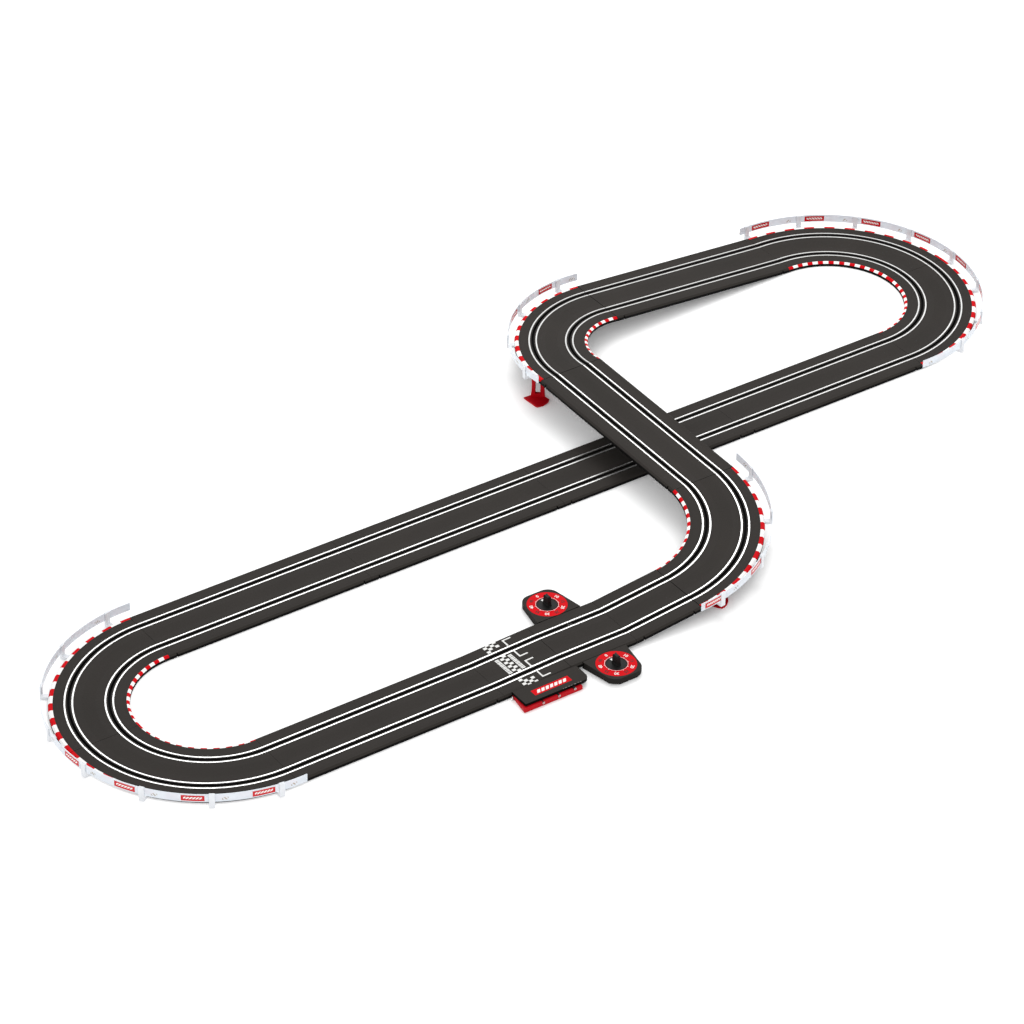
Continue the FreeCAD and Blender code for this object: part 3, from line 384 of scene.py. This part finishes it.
# ---------------------------------------------------------------------------------------------
# Conductor rails.  Bright rolled steel strips pressed into grooves beside the slots, with fine
# drawing lines and a little dulling where the pick-ups rub.
# ---------------------------------------------------------------------------------------------
STEEL_DARK, STEEL_LIGHT = (0.62, 0.62, 0.61, 1.0), (0.86, 0.86, 0.85, 1.0)

steel, wires, place, shader = new_finish("rail_steel", {"Metallic": 0.75})
shine = place.noise(60.0, 3.0)
drawn = place.noise(1500.0, 1.0)
(shine * 0.6 + drawn * 0.3).choose(STEEL_DARK, STEEL_LIGHT).feed(shader["Base Color"])
(shine * 0.18 + 0.22).feed(shader["Roughness"])
drawn.bump(0.00006, 0.4).feed(shader["Normal"])
dress(steel, *[name for name in nodes if name.startswith("rails_")])

# ---------------------------------------------------------------------------------------------
# Guard rails.  Strips of milky plastic sheet, bent round the curves and printed with small red
# panels and rows of grey ticks, one of each to a clip.
# ---------------------------------------------------------------------------------------------
SHEET_SHADE, SHEET_WHITE = (0.74, 0.79, 0.85, 1.0), (0.84, 0.88, 0.93, 1.0)
PANEL_RED = (0.52, 0.002, 0.006, 1.0)
PANEL_HALF = 3.9  # degrees
PANEL_HEIGHTS, MARK_HEIGHTS = (4.0 * MM, 13.2 * MM), (7.0 * MM, 10.6 * MM)
MARK_WHITE = (0.85, 0.84, 0.82, 1.0)
TICK_GREY = (0.45, 0.40, 0.32, 1.0)
TICK_ANGLES, TICK_HEIGHTS = (9.6, 13.0), (5.6 * MM, 9.8 * MM)
SHEET_ALPHA = 0.70


def guard_finish(label, centre, start, panels, pitch, printed, base, rise):
    """The sheet of one bend.  start is the angle where the strip begins, in degrees; panels is the
    first red panel's angle, and printed the range of angles that has panels; base and rise give
    the height of the deck below, in metres and metres a degree."""
    finish, wires, place, shader = new_finish(label, {"Roughness": 0.22, "Specular IOR Level": 0.4})
    x, y, z = place.split()
    angle = (x.math("ARCTAN2", y - centre[1], x - centre[0]) * (180 / math.pi) - start) % 360.0
    height = z - base - (angle + start) * rise
    step = ((angle + (start - panels)) / pitch + 0.5) % 1.0 - 0.5
    aside = abs(step) * pitch
    has_panel = (angle + start).between(*printed)
    panel = has_panel & (aside < PANEL_HALF) & height.between(*PANEL_HEIGHTS)
    mark = (step * pitch - height * 260.0) % 1.1
    stripe = height.between(*MARK_HEIGHTS) & (aside < PANEL_HALF - 0.8) & (mark < 0.72)
    ticks = (step * pitch).between(*TICK_ANGLES) & height.between(*TICK_HEIGHTS)
    ticks = ticks & ((step * pitch + height * 200.0) % 1.2 < 0.55)
    cloud = place.noise(40.0, 3.0)
    colour = ticks.choose(cloud.choose(SHEET_SHADE, SHEET_WHITE), TICK_GREY)
    ink = stripe.choose(PANEL_RED, MARK_WHITE)
    panel.choose(colour, ink).feed(shader["Base Color"])
    (panel | (SHEET_ALPHA + cloud * 0.12)).feed(shader["Alpha"])
    cloud.bump(0.0003, 0.25).feed(shader["Normal"])
    return finish


CLIP_STEP = 165 / 7
DECK_TOP = 0.007
CLIMB, FALL = 0.026, 0.029  # the height that each raised curve gains over its quarter turn
dress(guard_finish("left_guard_sheet", LEFT_CENTRE, 80.0, 185.5, CLIP_STEP, (180, 270),
                   DECK_TOP, 0.0), "guard_rail_left_loop")
dress(guard_finish("right_guard_sheet", RIGHT_CENTRE, -100.0, 14.4, 22.6, (-60, 90),
                   DECK_TOP, 0.0), "guard_rail_right_loop")
dress(guard_finish("climbing_guard_sheet", CLIMB_CENTRE, 80.0, 104.5, 25.0, (95, 140),
                   0.034 - CLIMB, CLIMB / 90), "guard_rail_climbing_curve")
dress(guard_finish("falling_guard_sheet", FALL_CENTRE, -100.0, -86.5, 24.0, (-95, -55),
                   0.023 + FALL, FALL / 90), "guard_rail_falling_curve")

# ---------------------------------------------------------------------------------------------
# Rail clips.  White polystyrene mouldings hooked on the decks' outer edges, each with a slot in
# its upright that holds the sheet.
# ---------------------------------------------------------------------------------------------
CLIP_SHADES = (0.66, 0.68, 0.71, 1.0), (0.80, 0.82, 0.85, 1.0)


def clouded_finish(label, gloss, cloud, shades, rough, grain=None):
    """A plastic of cloudy shade.  cloud gives the noise's scale and detail, rough the spread and
    the least value of its roughness, and grain the scale, depth and strength of its relief."""
    finish, wires, place, shader = new_finish(label, {"Specular IOR Level": gloss})
    patches = place.noise(*cloud)
    patches.choose(*shades).feed(shader["Base Color"])
    (patches * rough[0] + rough[1]).feed(shader["Roughness"])
    if grain:
        place.noise(grain[0]).bump(*grain[1:]).feed(shader["Normal"])
    return finish


clip_white = clouded_finish("clip_white", 0.4, (90.0, 2.0), CLIP_SHADES, (0.2, 0.3),
                            (700.0, 0.0001, 0.3))
dress(clip_white, *[name for name in nodes if name.startswith("rail_clips_")])

# ---------------------------------------------------------------------------------------------
# Bridge piers.  Red polystyrene mouldings that stand on the floor: a thin rounded foot, a plinth
# with two splayed legs, and a head that carries the deck's outer edge.
# ---------------------------------------------------------------------------------------------
FOOT_THICK = 3.0 * MM
FOOT = ((-0.3, -9.9), (8.0, -3.8), (21.7, 6.6), (10.0, 18.5), (2.0, 26.8), (-1.8, 29.2),
        (-6.6, 27.0), (-11.6, 23.2), (-15.8, 17.2), (-18.2, 11.6), (-18.7, 6.6), (-9.0, -1.9))
LEG_SPREAD, LEG_WIDE, LEG_DEEP = 7.8 * MM, 6.8 * MM, 6.0 * MM
PLINTH_TALL = 7.0 * MM
LEG_PROUD = 0.6 * MM
LEG_STEPS = ((-0.9, 0.92), (-0.2, 0.94), (0.3, 1.0), (0.4, 1.06))  # lean in mm, and width
HEAD_HALF, HEAD_DEEP, HEAD_THICK = 16.0 * MM, 7.0 * MM, 2.6 * MM
PIERS = {  # the foot's place, and the direction it points
    "pier_bridge_start": ((0.1364, 0.2359), 229.1),
    "pier_bridge_end": ((0.204, -0.174), 311.0),
    "pier_ramp_top": ((0.300, 0.4030), 161.0),
    "pier_ramp_foot": ((0.0470, -0.3390), 255.0),
}
PIER_SHADES = (0.34, 0.000, 0.004, 1.0), (0.50, 0.001, 0.008, 1.0)
TRACK = "track"


def raise_up(form, faces, rise, scale=(1.0, 1.0)):
    """Extrude faces upwards, shrinking or spreading the new end about its middle.  A face that the
    extrusion leaves inside the solid is removed."""
    moved = bmesh.ops.extrude_face_region(form, geom=faces)["geom"]
    corners = [part for part in moved if isinstance(part, bmesh.types.BMVert)]
    middle = sum((corner.co for corner in corners), Vector()) / len(corners)
    bmesh.ops.scale(form, vec=(scale[0], scale[1], 1.0), verts=corners,
                    space=Matrix.Translation(-middle))
    bmesh.ops.translate(form, verts=corners, vec=(0, 0, rise))
    inner = [face for face in faces if all(len(edge.link_faces) > 2 for edge in face.edges)]
    bmesh.ops.delete(form, geom=inner, context="FACES_ONLY")
    return [part for part in moved if isinstance(part, bmesh.types.BMFace)]


def outline_face(form, corners, height):
    return form.faces.new([form.verts.new((x, y, height)) for x, y in corners])


def soften(form, offset, segments=2, angle=30.0):
    """Round every edge sharper than the given angle."""
    bmesh.ops.recalc_face_normals(form, faces=form.faces)
    sharp = [edge for edge in form.edges
             if edge.is_manifold and edge.calc_face_angle() > math.radians(angle)]
    bmesh.ops.bevel(form, geom=sharp, offset=offset, offset_type="OFFSET", segments=segments,
                    profile=0.5, affect="EDGES", clamp_overlap=True, material=-1)


pier_red = clouded_finish("moulded_red", 0.12, (55.0, 3.0), PIER_SHADES, (0.25, 0.36),
                          (600.0, 0.00015, 0.35))
for node, (spot, facing) in PIERS.items():
    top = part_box(node)[1][2]
    form = bmesh.new()
    foot = outline_face(form, [(x * MM, y * MM) for x, y in FOOT], 0.0)
    raise_up(form, [foot], FOOT_THICK)
    plinth = outline_face(form, [(-LEG_SPREAD, -LEG_DEEP / 2), (LEG_SPREAD, -LEG_DEEP / 2),
                                 (LEG_SPREAD, LEG_DEEP / 2), (-LEG_SPREAD, LEG_DEEP / 2)],
                          FOOT_THICK * 0.5)
    raise_up(form, [plinth], min(PLINTH_TALL, top * 0.3))
    for side in (-1, 1):
        inner, outer = side * (LEG_SPREAD - LEG_WIDE / 2), side * (LEG_SPREAD + LEG_WIDE / 2)
        half = LEG_DEEP / 2 + LEG_PROUD
        leg = outline_face(form, [(inner, -half), (outer, -half), (outer, half), (inner, half)],
                           FOOT_THICK * 0.6)
        ends = [leg]
        reach = top - HEAD_THICK * 0.5 - FOOT_THICK * 0.6
        for lean, slim in LEG_STEPS:
            ends = raise_up(form, ends, reach / len(LEG_STEPS), (slim, 0.98))
            corners = {corner for face in ends for corner in face.verts}
            bmesh.ops.translate(form, verts=list(corners), vec=(side * lean * MM, 0, 0))
    head = outline_face(form, [(-HEAD_HALF, -HEAD_DEEP), (HEAD_HALF, -HEAD_DEEP),
                               (HEAD_HALF, HEAD_DEEP), (-HEAD_HALF, HEAD_DEEP)], top - HEAD_THICK)
    raise_up(form, [head], HEAD_THICK - 0.2 * MM)
    soften(form, 0.7 * MM)
    bmesh.ops.transform(form, matrix=Matrix.Translation((spot[0], spot[1], 0))
                        @ Matrix.Rotation(math.radians(facing - 90), 4, "Z"), verts=form.verts)
    pier = new_piece(node + "_moulding", form, pier_red)
    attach(pier, TRACK)
    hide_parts(node)

# ---------------------------------------------------------------------------------------------
# Power section box.  A red tray beside the deck with a black lid set in from its edges.  The lid
# has one rounded corner, a raised lip and a printed red panel with slanted white bars.
# ---------------------------------------------------------------------------------------------
TRAY = (5.4 * MM, 105.0 * MM, -97.0 * MM, -57.4 * MM)  # left, right, front and back edges
TRAY_TAPER = 6.5 * MM
TRAY_TOP = 6.5 * MM
LID = (10.8 * MM, 121.0 * MM, -92.2 * MM, -57.4 * MM)
LID_TOP, LID_SINK = 11.1 * MM, 0.7 * MM
LID_CORNER = 11.0 * MM
LIP_WIDE, LIP_TALL = 1.3 * MM, 0.35 * MM
PANEL_ALONG, PANEL_ACROSS = (33.6 * MM, 97.0 * MM), (-82.6 * MM, -70.2 * MM)
SLANT_START, SLANT_PITCH, SLANT_BARS = 38.6 * MM, 7.4 * MM, 7.0
SLANT_ACROSS = (-79.8 * MM, -73.2 * MM)
# where the lid's front lip carries a painted highlight in dashes, and the colour of that painted
# highlight
HIGHLIGHT_ALONG, HIGHLIGHT_ACROSS = (74 * MM, 106 * MM), (-92.1 * MM, -91.3 * MM)
LIP_PAINTED_HIGHLIGHT = (0.30, 0.30, 0.29, 1.0)
NO_LANES = 10.0  # a middle line far away, because the lid has no slots


def on_grid(corners):
    """Points measured from the power section's seam and middle line, placed in the layout."""
    return [(GRID_START + x, HOME_LINE + y) for x, y in corners]


form = bmesh.new()
left, right, front, back = TRAY
tray = outline_face(form, on_grid([(left, front), (right, front), (right, back),
                                   (left + TRAY_TAPER, back)]), 0.2 * MM)
raise_up(form, [tray], TRAY_TOP - 0.2 * MM)
soften(form, 0.6 * MM, 3)
tray = new_piece("power_tray", form, pier_red)
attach(tray, TRACK)
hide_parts("power_housing")

form = bmesh.new()
left, right, front, back = LID
bend = [(right - LID_CORNER + LID_CORNER * math.sin(math.radians(angle)),
         front + LID_CORNER - LID_CORNER * math.cos(math.radians(angle)))
        for angle in range(0, 91, 9)]
lid = outline_face(form, on_grid([(left, front)] + bend + [(right, back), (left, back)]),
                   TRAY_TOP - LID_SINK)
top = raise_up(form, [lid], LID_TOP - TRAY_TOP + LID_SINK)
bmesh.ops.inset_region(form, faces=top, thickness=LIP_WIDE, use_even_offset=True)
bmesh.ops.translate(form, verts=list({corner for face in top for corner in face.verts}),
                    vec=(0, 0, -LIP_TALL))
soften(form, 0.3 * MM, 3)


def lid_print_and_highlight(colour, x, y, up, fleck):
    panel_x = x - GRID_START
    panel_y = y - HOME_LINE + (panel_x - 65.0 * MM) * -0.012
    label = panel_x.between(*PANEL_ALONG) & panel_y.between(*PANEL_ACROSS)
    slanted = (panel_x - (panel_y + 76.5 * MM) * 0.6 - SLANT_START) / SLANT_PITCH
    bars = slanted.between(0.0, SLANT_BARS) & (slanted % 1.0 > 0.3)
    bars = bars & panel_y.between(*SLANT_ACROSS)
    ink = bars.choose(KERB_RED, PRINT_WHITE)
    colour = (label & (up > 0.9)).choose(colour, ink)
    # the lip carries a painted highlight in short dashes
    lip = (y - HOME_LINE).between(*HIGHLIGHT_ACROSS) & panel_x.between(*HIGHLIGHT_ALONG)
    lip_highlight = lip & ((panel_x / (5.2 * MM)) % 1.0 < 0.62) & (fleck > 0.42)
    return lip_highlight.choose(colour, LIP_PAINTED_HIGHLIGHT)


lid = new_piece("power_lid", form,
                deck_finish("lid_plastic", lambda x, y: y - NO_LANES, lid_print_and_highlight))
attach(lid, TRACK)
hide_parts("power_cover")

# ---------------------------------------------------------------------------------------------
# Sockets and contact board.  Two black jacks for the hand controllers and one for the supply sit
# in the tray's front wall, each with a bright contact ring, on a green laminate board.
# ---------------------------------------------------------------------------------------------
JACK_SHADES = (0.004, 0.004, 0.004, 1.0), (0.012, 0.012, 0.012, 1.0)
BOARD_SHADES = (0.01, 0.10, 0.03, 1.0), (0.03, 0.20, 0.07, 1.0)
SCREW_CUT = 1.2 * MM  # below the tray's top
RING_HOLE, RING_SPREAD, RING_WALL = 1.25 * MM, 1.5, 0.25 * MM

black = clouded_finish("moulded_black", 0.12, (120.0, 2.0), JACK_SHADES, (0.2, 0.4),
                       (900.0, 0.0001, 0.3))
dress(black, "controller_jacks", "supply_jack")
dress(clouded_finish("board_green", 0.5, (80.0, 2.0), BOARD_SHADES, (0.2, 0.35)), "contact_board")

form = bmesh.new()
form.from_mesh(nodes["housing_screws"].data)
bmesh.ops.remove_doubles(form, verts=form.verts, dist=0.000001)
bmesh.ops.bisect_plane(form, geom=form.verts[:] + form.edges[:] + form.faces[:], dist=0.000001,
                       plane_co=(0, 0, TRAY_TOP - SCREW_CUT), plane_no=(0, 0, 1), clear_outer=True)
bmesh.ops.holes_fill(form, edges=[edge for edge in form.edges if edge.is_boundary], sides=0)
screws = new_piece("tray_screws", form, steel)
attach(screws, TRACK)
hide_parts("housing_screws")

form = bmesh.new()
jack_low, jack_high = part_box("controller_jacks")
supply_low, supply_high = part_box("supply_jack")
reach = (supply_high[0] - supply_low[0]) / 2
for middle, height in ((jack_low[0] + reach, jack_low[2] + reach),
                       (jack_high[0] - reach, jack_high[2] - reach),
                       (supply_low[0] + reach, supply_low[2] + reach)):
    ring = bmesh.ops.create_circle(form, cap_ends=False, radius=RING_HOLE, segments=20)["verts"]
    spun = bmesh.ops.extrude_edge_only(
        form, edges=list({edge for corner in ring for edge in corner.link_edges}))["geom"]
    wide = [part for part in spun if isinstance(part, bmesh.types.BMVert)]
    bmesh.ops.scale(form, vec=(RING_SPREAD, RING_SPREAD, 1.0), verts=wide)
    bmesh.ops.transform(form, verts=ring + wide,
                        matrix=Matrix.Translation((middle, jack_low[1] - 0.1 * MM, height))
                        @ Matrix.Rotation(math.radians(90), 4, "X"))
bmesh.ops.recalc_face_normals(form, faces=form.faces)
bmesh.ops.solidify(form, geom=form.faces[:], thickness=RING_WALL)
bmesh.ops.recalc_face_normals(form, faces=form.faces)
rings = new_piece("socket_rings", form, steel)
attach(rings, TRACK)

# ---------------------------------------------------------------------------------------------
# Lap counter deck.  One black moulding: the roadway, and on each side a rounded pad with a thin
# wall round it.  A flat plate closes each pad from below, held by three screws.
# ---------------------------------------------------------------------------------------------
DIAL_ASIDE = 85.6 * MM
DIAL_MIDDLE = middle_of("counter_dials", 0)
DIAL_CLEAR = 30.5 * MM  # what stands further out than this round a dial is drawn in
PAD_START, PAD_SLIM, PAD_SHORT, RIM_LIFT = 100.0 * MM, 0.90, 0.86, 2.2 * MM
JOINT_INNER, JOINT_OUTER, JOINT_HALF = 54.5 * MM, 59.0 * MM, 30 * MM


def trimmed_pads(node, lift):
    """The node's mesh with the pads drawn in round their dials and their rims lifted."""
    form = bmesh.new()
    form.from_mesh(nodes[node].data)
    bmesh.ops.remove_doubles(form, verts=form.verts, dist=0.000001)
    for side in (-1, 1):
        pivot = Vector((DIAL_MIDDLE, HOME_LINE + side * PAD_START, 0))
        dial = Vector((DIAL_MIDDLE, HOME_LINE + side * DIAL_ASIDE))
        corners = [corner for corner in form.verts if side * (corner.co.y - pivot.y) > 0
                   and (corner.co.xy - dial).length > DIAL_CLEAR]
        bmesh.ops.scale(form, vec=(PAD_SLIM, PAD_SHORT, 1.0), verts=corners,
                        space=Matrix.Translation(-pivot))
        rim = [corner for corner in form.verts if corner.co.z < 1.0 * MM
               and side * (corner.co.y - HOME_LINE) > HALF_DECK + 0.5 * MM]
        bmesh.ops.translate(form, verts=rim, vec=(0, 0, lift))
    return form


def pad_joint(colour, x, y, up, fleck):
    """The joint between road and pads is plain, and the pads' walls are paler than the painted
    shade on the skirts.
    """
    side = abs(y - HOME_LINE)
    joint = side.between(JOINT_INNER, JOINT_OUTER) & (abs(x - DIAL_MIDDLE) < JOINT_HALF)
    wall = (side > JOINT_OUTER) & (up < SKIRT_SLOPE)
    colour = joint.choose(colour, fleck.choose(ASPHALT_DARK, ASPHALT_LIGHT))
    return wall.choose(colour, ASPHALT_DARK)


deck = new_piece("lap_counter_moulding", trimmed_pads("lap_counter_deck", RIM_LIFT),
                 deck_finish("lap_counter_plastic", lambda x, y: y - HOME_LINE, pad_joint))
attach(deck, TRACK)
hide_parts("lap_counter_deck")
plates = new_piece("pad_plates", trimmed_pads("counter_base_covers", 0.0), black)
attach(plates, TRACK)
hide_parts("counter_base_covers")
dress(steel, "counter_screws", "lever_pins")

# ---------------------------------------------------------------------------------------------
# Counter dials.  Red rings pressed into the pads, printed with ten figures each, by turns white
# and black, and a fine white scale round the knob's hole.
# ---------------------------------------------------------------------------------------------
FIGURE_RADIUS, FIGURE_SIZE = 23.4 * MM, 7.2 * MM
FIRST_FIGURE, FIGURE_STEP = 92.0, 36.0  # degrees
INK_THICK = 0.04 * MM
DIAL_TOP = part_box("counter_dials")[1][2]
DIAL_DARK, DIAL_LIGHT = (0.50, 0.000, 0.003, 1.0), (0.66, 0.000, 0.006, 1.0)
SCALE_LINE, SCALE_TICKS, TICK_SHARE = (16.4 * MM, 16.9 * MM), (16.5 * MM, 18.4 * MM), 0.03
WHITE_SHADES = (0.74, 0.74, 0.72, 1.0), (0.92, 0.92, 0.90, 1.0)
BLACK_SHADES = (0.004, 0.004, 0.004, 1.0), (0.02, 0.02, 0.02, 1.0)

dial_red, wires, place, shader = new_finish("dial_red", {"Specular IOR Level": 0.05})
x, y, z = place.split()
out = x - DIAL_MIDDLE
along = abs(y - HOME_LINE) - DIAL_ASIDE
radius = (out ** 2 + along ** 2) ** 0.5
bearing = x.math("ARCTAN2", along, out) * (180 / math.pi)
from_figure = abs(((bearing - FIRST_FIGURE) / FIGURE_STEP + 0.5) % 1.0 - 0.5)
scale = radius.between(*SCALE_LINE) | (radius.between(*SCALE_TICKS) & (from_figure < TICK_SHARE))
cloud = place.noise(90.0, 3.0)
paint = cloud.choose(DIAL_DARK, DIAL_LIGHT)
(scale & (z > DIAL_TOP - 0.1 * MM)).choose(paint, PRINT_WHITE).feed(shader["Base Color"])
(cloud * 0.2 + 0.42).feed(shader["Roughness"])
place.noise(800.0).bump(0.0001, 0.25).feed(shader["Normal"])
dress(dial_red, "counter_dials")


def add_figure(form, text, size, place):
    """Stamp a figure, as thin raised ink, at the given place."""
    letters = bpy.data.curves.new("figure", "FONT")
    letters.body = text
    letters.size = size
    letters.align_x = "CENTER"
    letters.align_y = "CENTER"
    letters.extrude = INK_THICK
    letters.offset = 0.02 * size
    holder = bpy.data.objects.new("figure", letters)
    mesh = bpy.data.meshes.new_from_object(holder)
    first = len(form.verts)
    form.from_mesh(mesh)
    form.verts.ensure_lookup_table()
    bmesh.ops.transform(form, matrix=place, verts=form.verts[first:])
    bpy.data.objects.remove(holder)
    bpy.data.curves.remove(letters)
    bpy.data.meshes.remove(mesh)


white_ink = clouded_finish("white_ink", 0.2, (300.0, 2.0), WHITE_SHADES, (0.2, 0.5))
black_ink = clouded_finish("black_ink", 0.2, (300.0, 2.0), BLACK_SHADES, (0.2, 0.5))
for first, finish, label, slot in ((0, white_ink, "white_figures", "white_plastic"),
                                   (1, black_ink, "black_figures", "black_plastic")):
    form = bmesh.new()
    for side in (-1, 1):
        for number in range(first, 10, 2):
            bearing = math.radians(FIRST_FIGURE - FIGURE_STEP * number)
            spot = (DIAL_MIDDLE + FIGURE_RADIUS * math.cos(bearing),
                    HOME_LINE + side * DIAL_ASIDE + FIGURE_RADIUS * math.sin(bearing),
                    DIAL_TOP + INK_THICK)
            add_figure(form, str(5 * number), FIGURE_SIZE, Matrix.Translation(spot)
                       @ Matrix.Rotation(bearing - math.pi / 2, 4, "Z"))
    bmesh.ops.remove_doubles(form, verts=form.verts, dist=0.000001)
    figures = new_piece(label, form, finish)
    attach(figures, TRACK)

# ---------------------------------------------------------------------------------------------
# Counter knobs.  Each is one black moulding: a disc in the dial's hole, a waisted finger grip with
# ribbed flanks, and a short spindle that turns the ratchet wheel.  A white wedge marks the lap.
# ---------------------------------------------------------------------------------------------
DISC_RADIUS = 15.5 * MM
DISC_TOP = DIAL_TOP + 0.1 * MM
SPINDLE_RADIUS, DISC_THICK = 5.0 * MM, 2.2 * MM
GRIP_LONG, GRIP_WIDE, GRIP_SUNK = 13.0 * MM, 8.2 * MM, 0.8 * MM
GRIP_STEPS = ((0.16, (0.86, 0.92)), (0.30, (0.90, 0.92)), (0.30, (0.98, 0.95)),
              (0.17, (1.04, 0.96)), (0.07, (0.76, 0.84)))  # share of the height, and taper
RIB_AREA, RIB_MARGIN, RIB_DEPTH = 6e-6, 0.9 * MM, 0.5 * MM
POINTER = ((-0.7 * MM, 5.5 * MM), (0.7 * MM, 5.5 * MM),
           (1.7 * MM, 13.6 * MM), (-1.7 * MM, 13.6 * MM))
KNOBS = {"front": -1, "back": 1}

for side_name, side in KNOBS.items():
    node = "counter_knob_" + side_name
    low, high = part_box(node)
    middle = Vector((DIAL_MIDDLE, HOME_LINE + side * DIAL_ASIDE, 0))
    form = bmesh.new()
    profile = [(0.0, low[2]), (SPINDLE_RADIUS, low[2]), (SPINDLE_RADIUS, DISC_TOP - DISC_THICK),
               (DISC_RADIUS, DISC_TOP - DISC_THICK), (DISC_RADIUS, DISC_TOP - 0.4 * MM),
               (DISC_RADIUS - 0.4 * MM, DISC_TOP), (DISC_RADIUS - 1.4 * MM, DISC_TOP),
               (DISC_RADIUS - 1.7 * MM, DISC_TOP - 0.3 * MM), (0.0, DISC_TOP - 0.3 * MM)]
    corners = [form.verts.new((x, 0.0, z)) for x, z in profile]
    edges = [form.edges.new(pair) for pair in zip(corners, corners[1:])]
    bmesh.ops.spin(form, geom=corners + edges, cent=(0, 0, 0), axis=(0, 0, 1),
                   angle=2 * math.pi, steps=64, use_merge=True)
    bmesh.ops.remove_doubles(form, verts=form.verts, dist=0.000005)
    foot = outline_face(form, [(-GRIP_WIDE / 2, -GRIP_LONG / 2), (GRIP_WIDE / 2, -GRIP_LONG / 2),
                               (GRIP_WIDE / 2, GRIP_LONG / 2), (-GRIP_WIDE / 2, GRIP_LONG / 2)],
                        DISC_TOP - GRIP_SUNK)
    ends = [foot]
    reach = high[2] - DISC_TOP + GRIP_SUNK
    for share, slim in GRIP_STEPS:
        ends = raise_up(form, ends, reach * share, slim)
    ribs = [face for face in form.faces if abs(face.normal.x) > 0.8
            and face.calc_center_median().z > DISC_TOP + 1.0 * MM
            and face.calc_area() > RIB_AREA]
    for face in ribs:
        bmesh.ops.inset_region(form, faces=[face], thickness=RIB_MARGIN, depth=-RIB_DEPTH)
    soften(form, 0.3 * MM, 2, 28.0)
    bmesh.ops.translate(form, verts=form.verts, vec=middle)
    bmesh.ops.recalc_face_normals(form, faces=form.faces)
    knob = new_piece("lap_knob_" + side_name, form, black)
    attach(knob, side_name + "_counter_knob")
    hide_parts(node)

    form = bmesh.new()
    pointer = outline_face(form, POINTER, DISC_TOP - 0.35 * MM)
    raise_up(form, [pointer], 0.3 * MM)
    bmesh.ops.recalc_face_normals(form, faces=form.faces)
    bmesh.ops.translate(form, verts=form.verts, vec=middle)
    pointer = new_piece("lap_pointer_" + side_name, form, white_ink)
    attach(pointer, side_name + "_counter_knob")

# ---------------------------------------------------------------------------------------------
# Ratchet wheels and trip levers.  White acetal, under the pads: a passing car pushes the lever,
# whose pawl turns the wheel by one tooth.
# ---------------------------------------------------------------------------------------------
ACETAL_SHADES = (0.72, 0.72, 0.69, 1.0), (0.86, 0.86, 0.83, 1.0)

acetal = clouded_finish("acetal_white", 0.45, (150.0, 2.0), ACETAL_SHADES, (0.15, 0.3),
                        (900.0, 0.00008, 0.3))
dress(acetal, "ratchet_wheel_front", "ratchet_wheel_back", "trip_lever_front", "trip_lever_back")
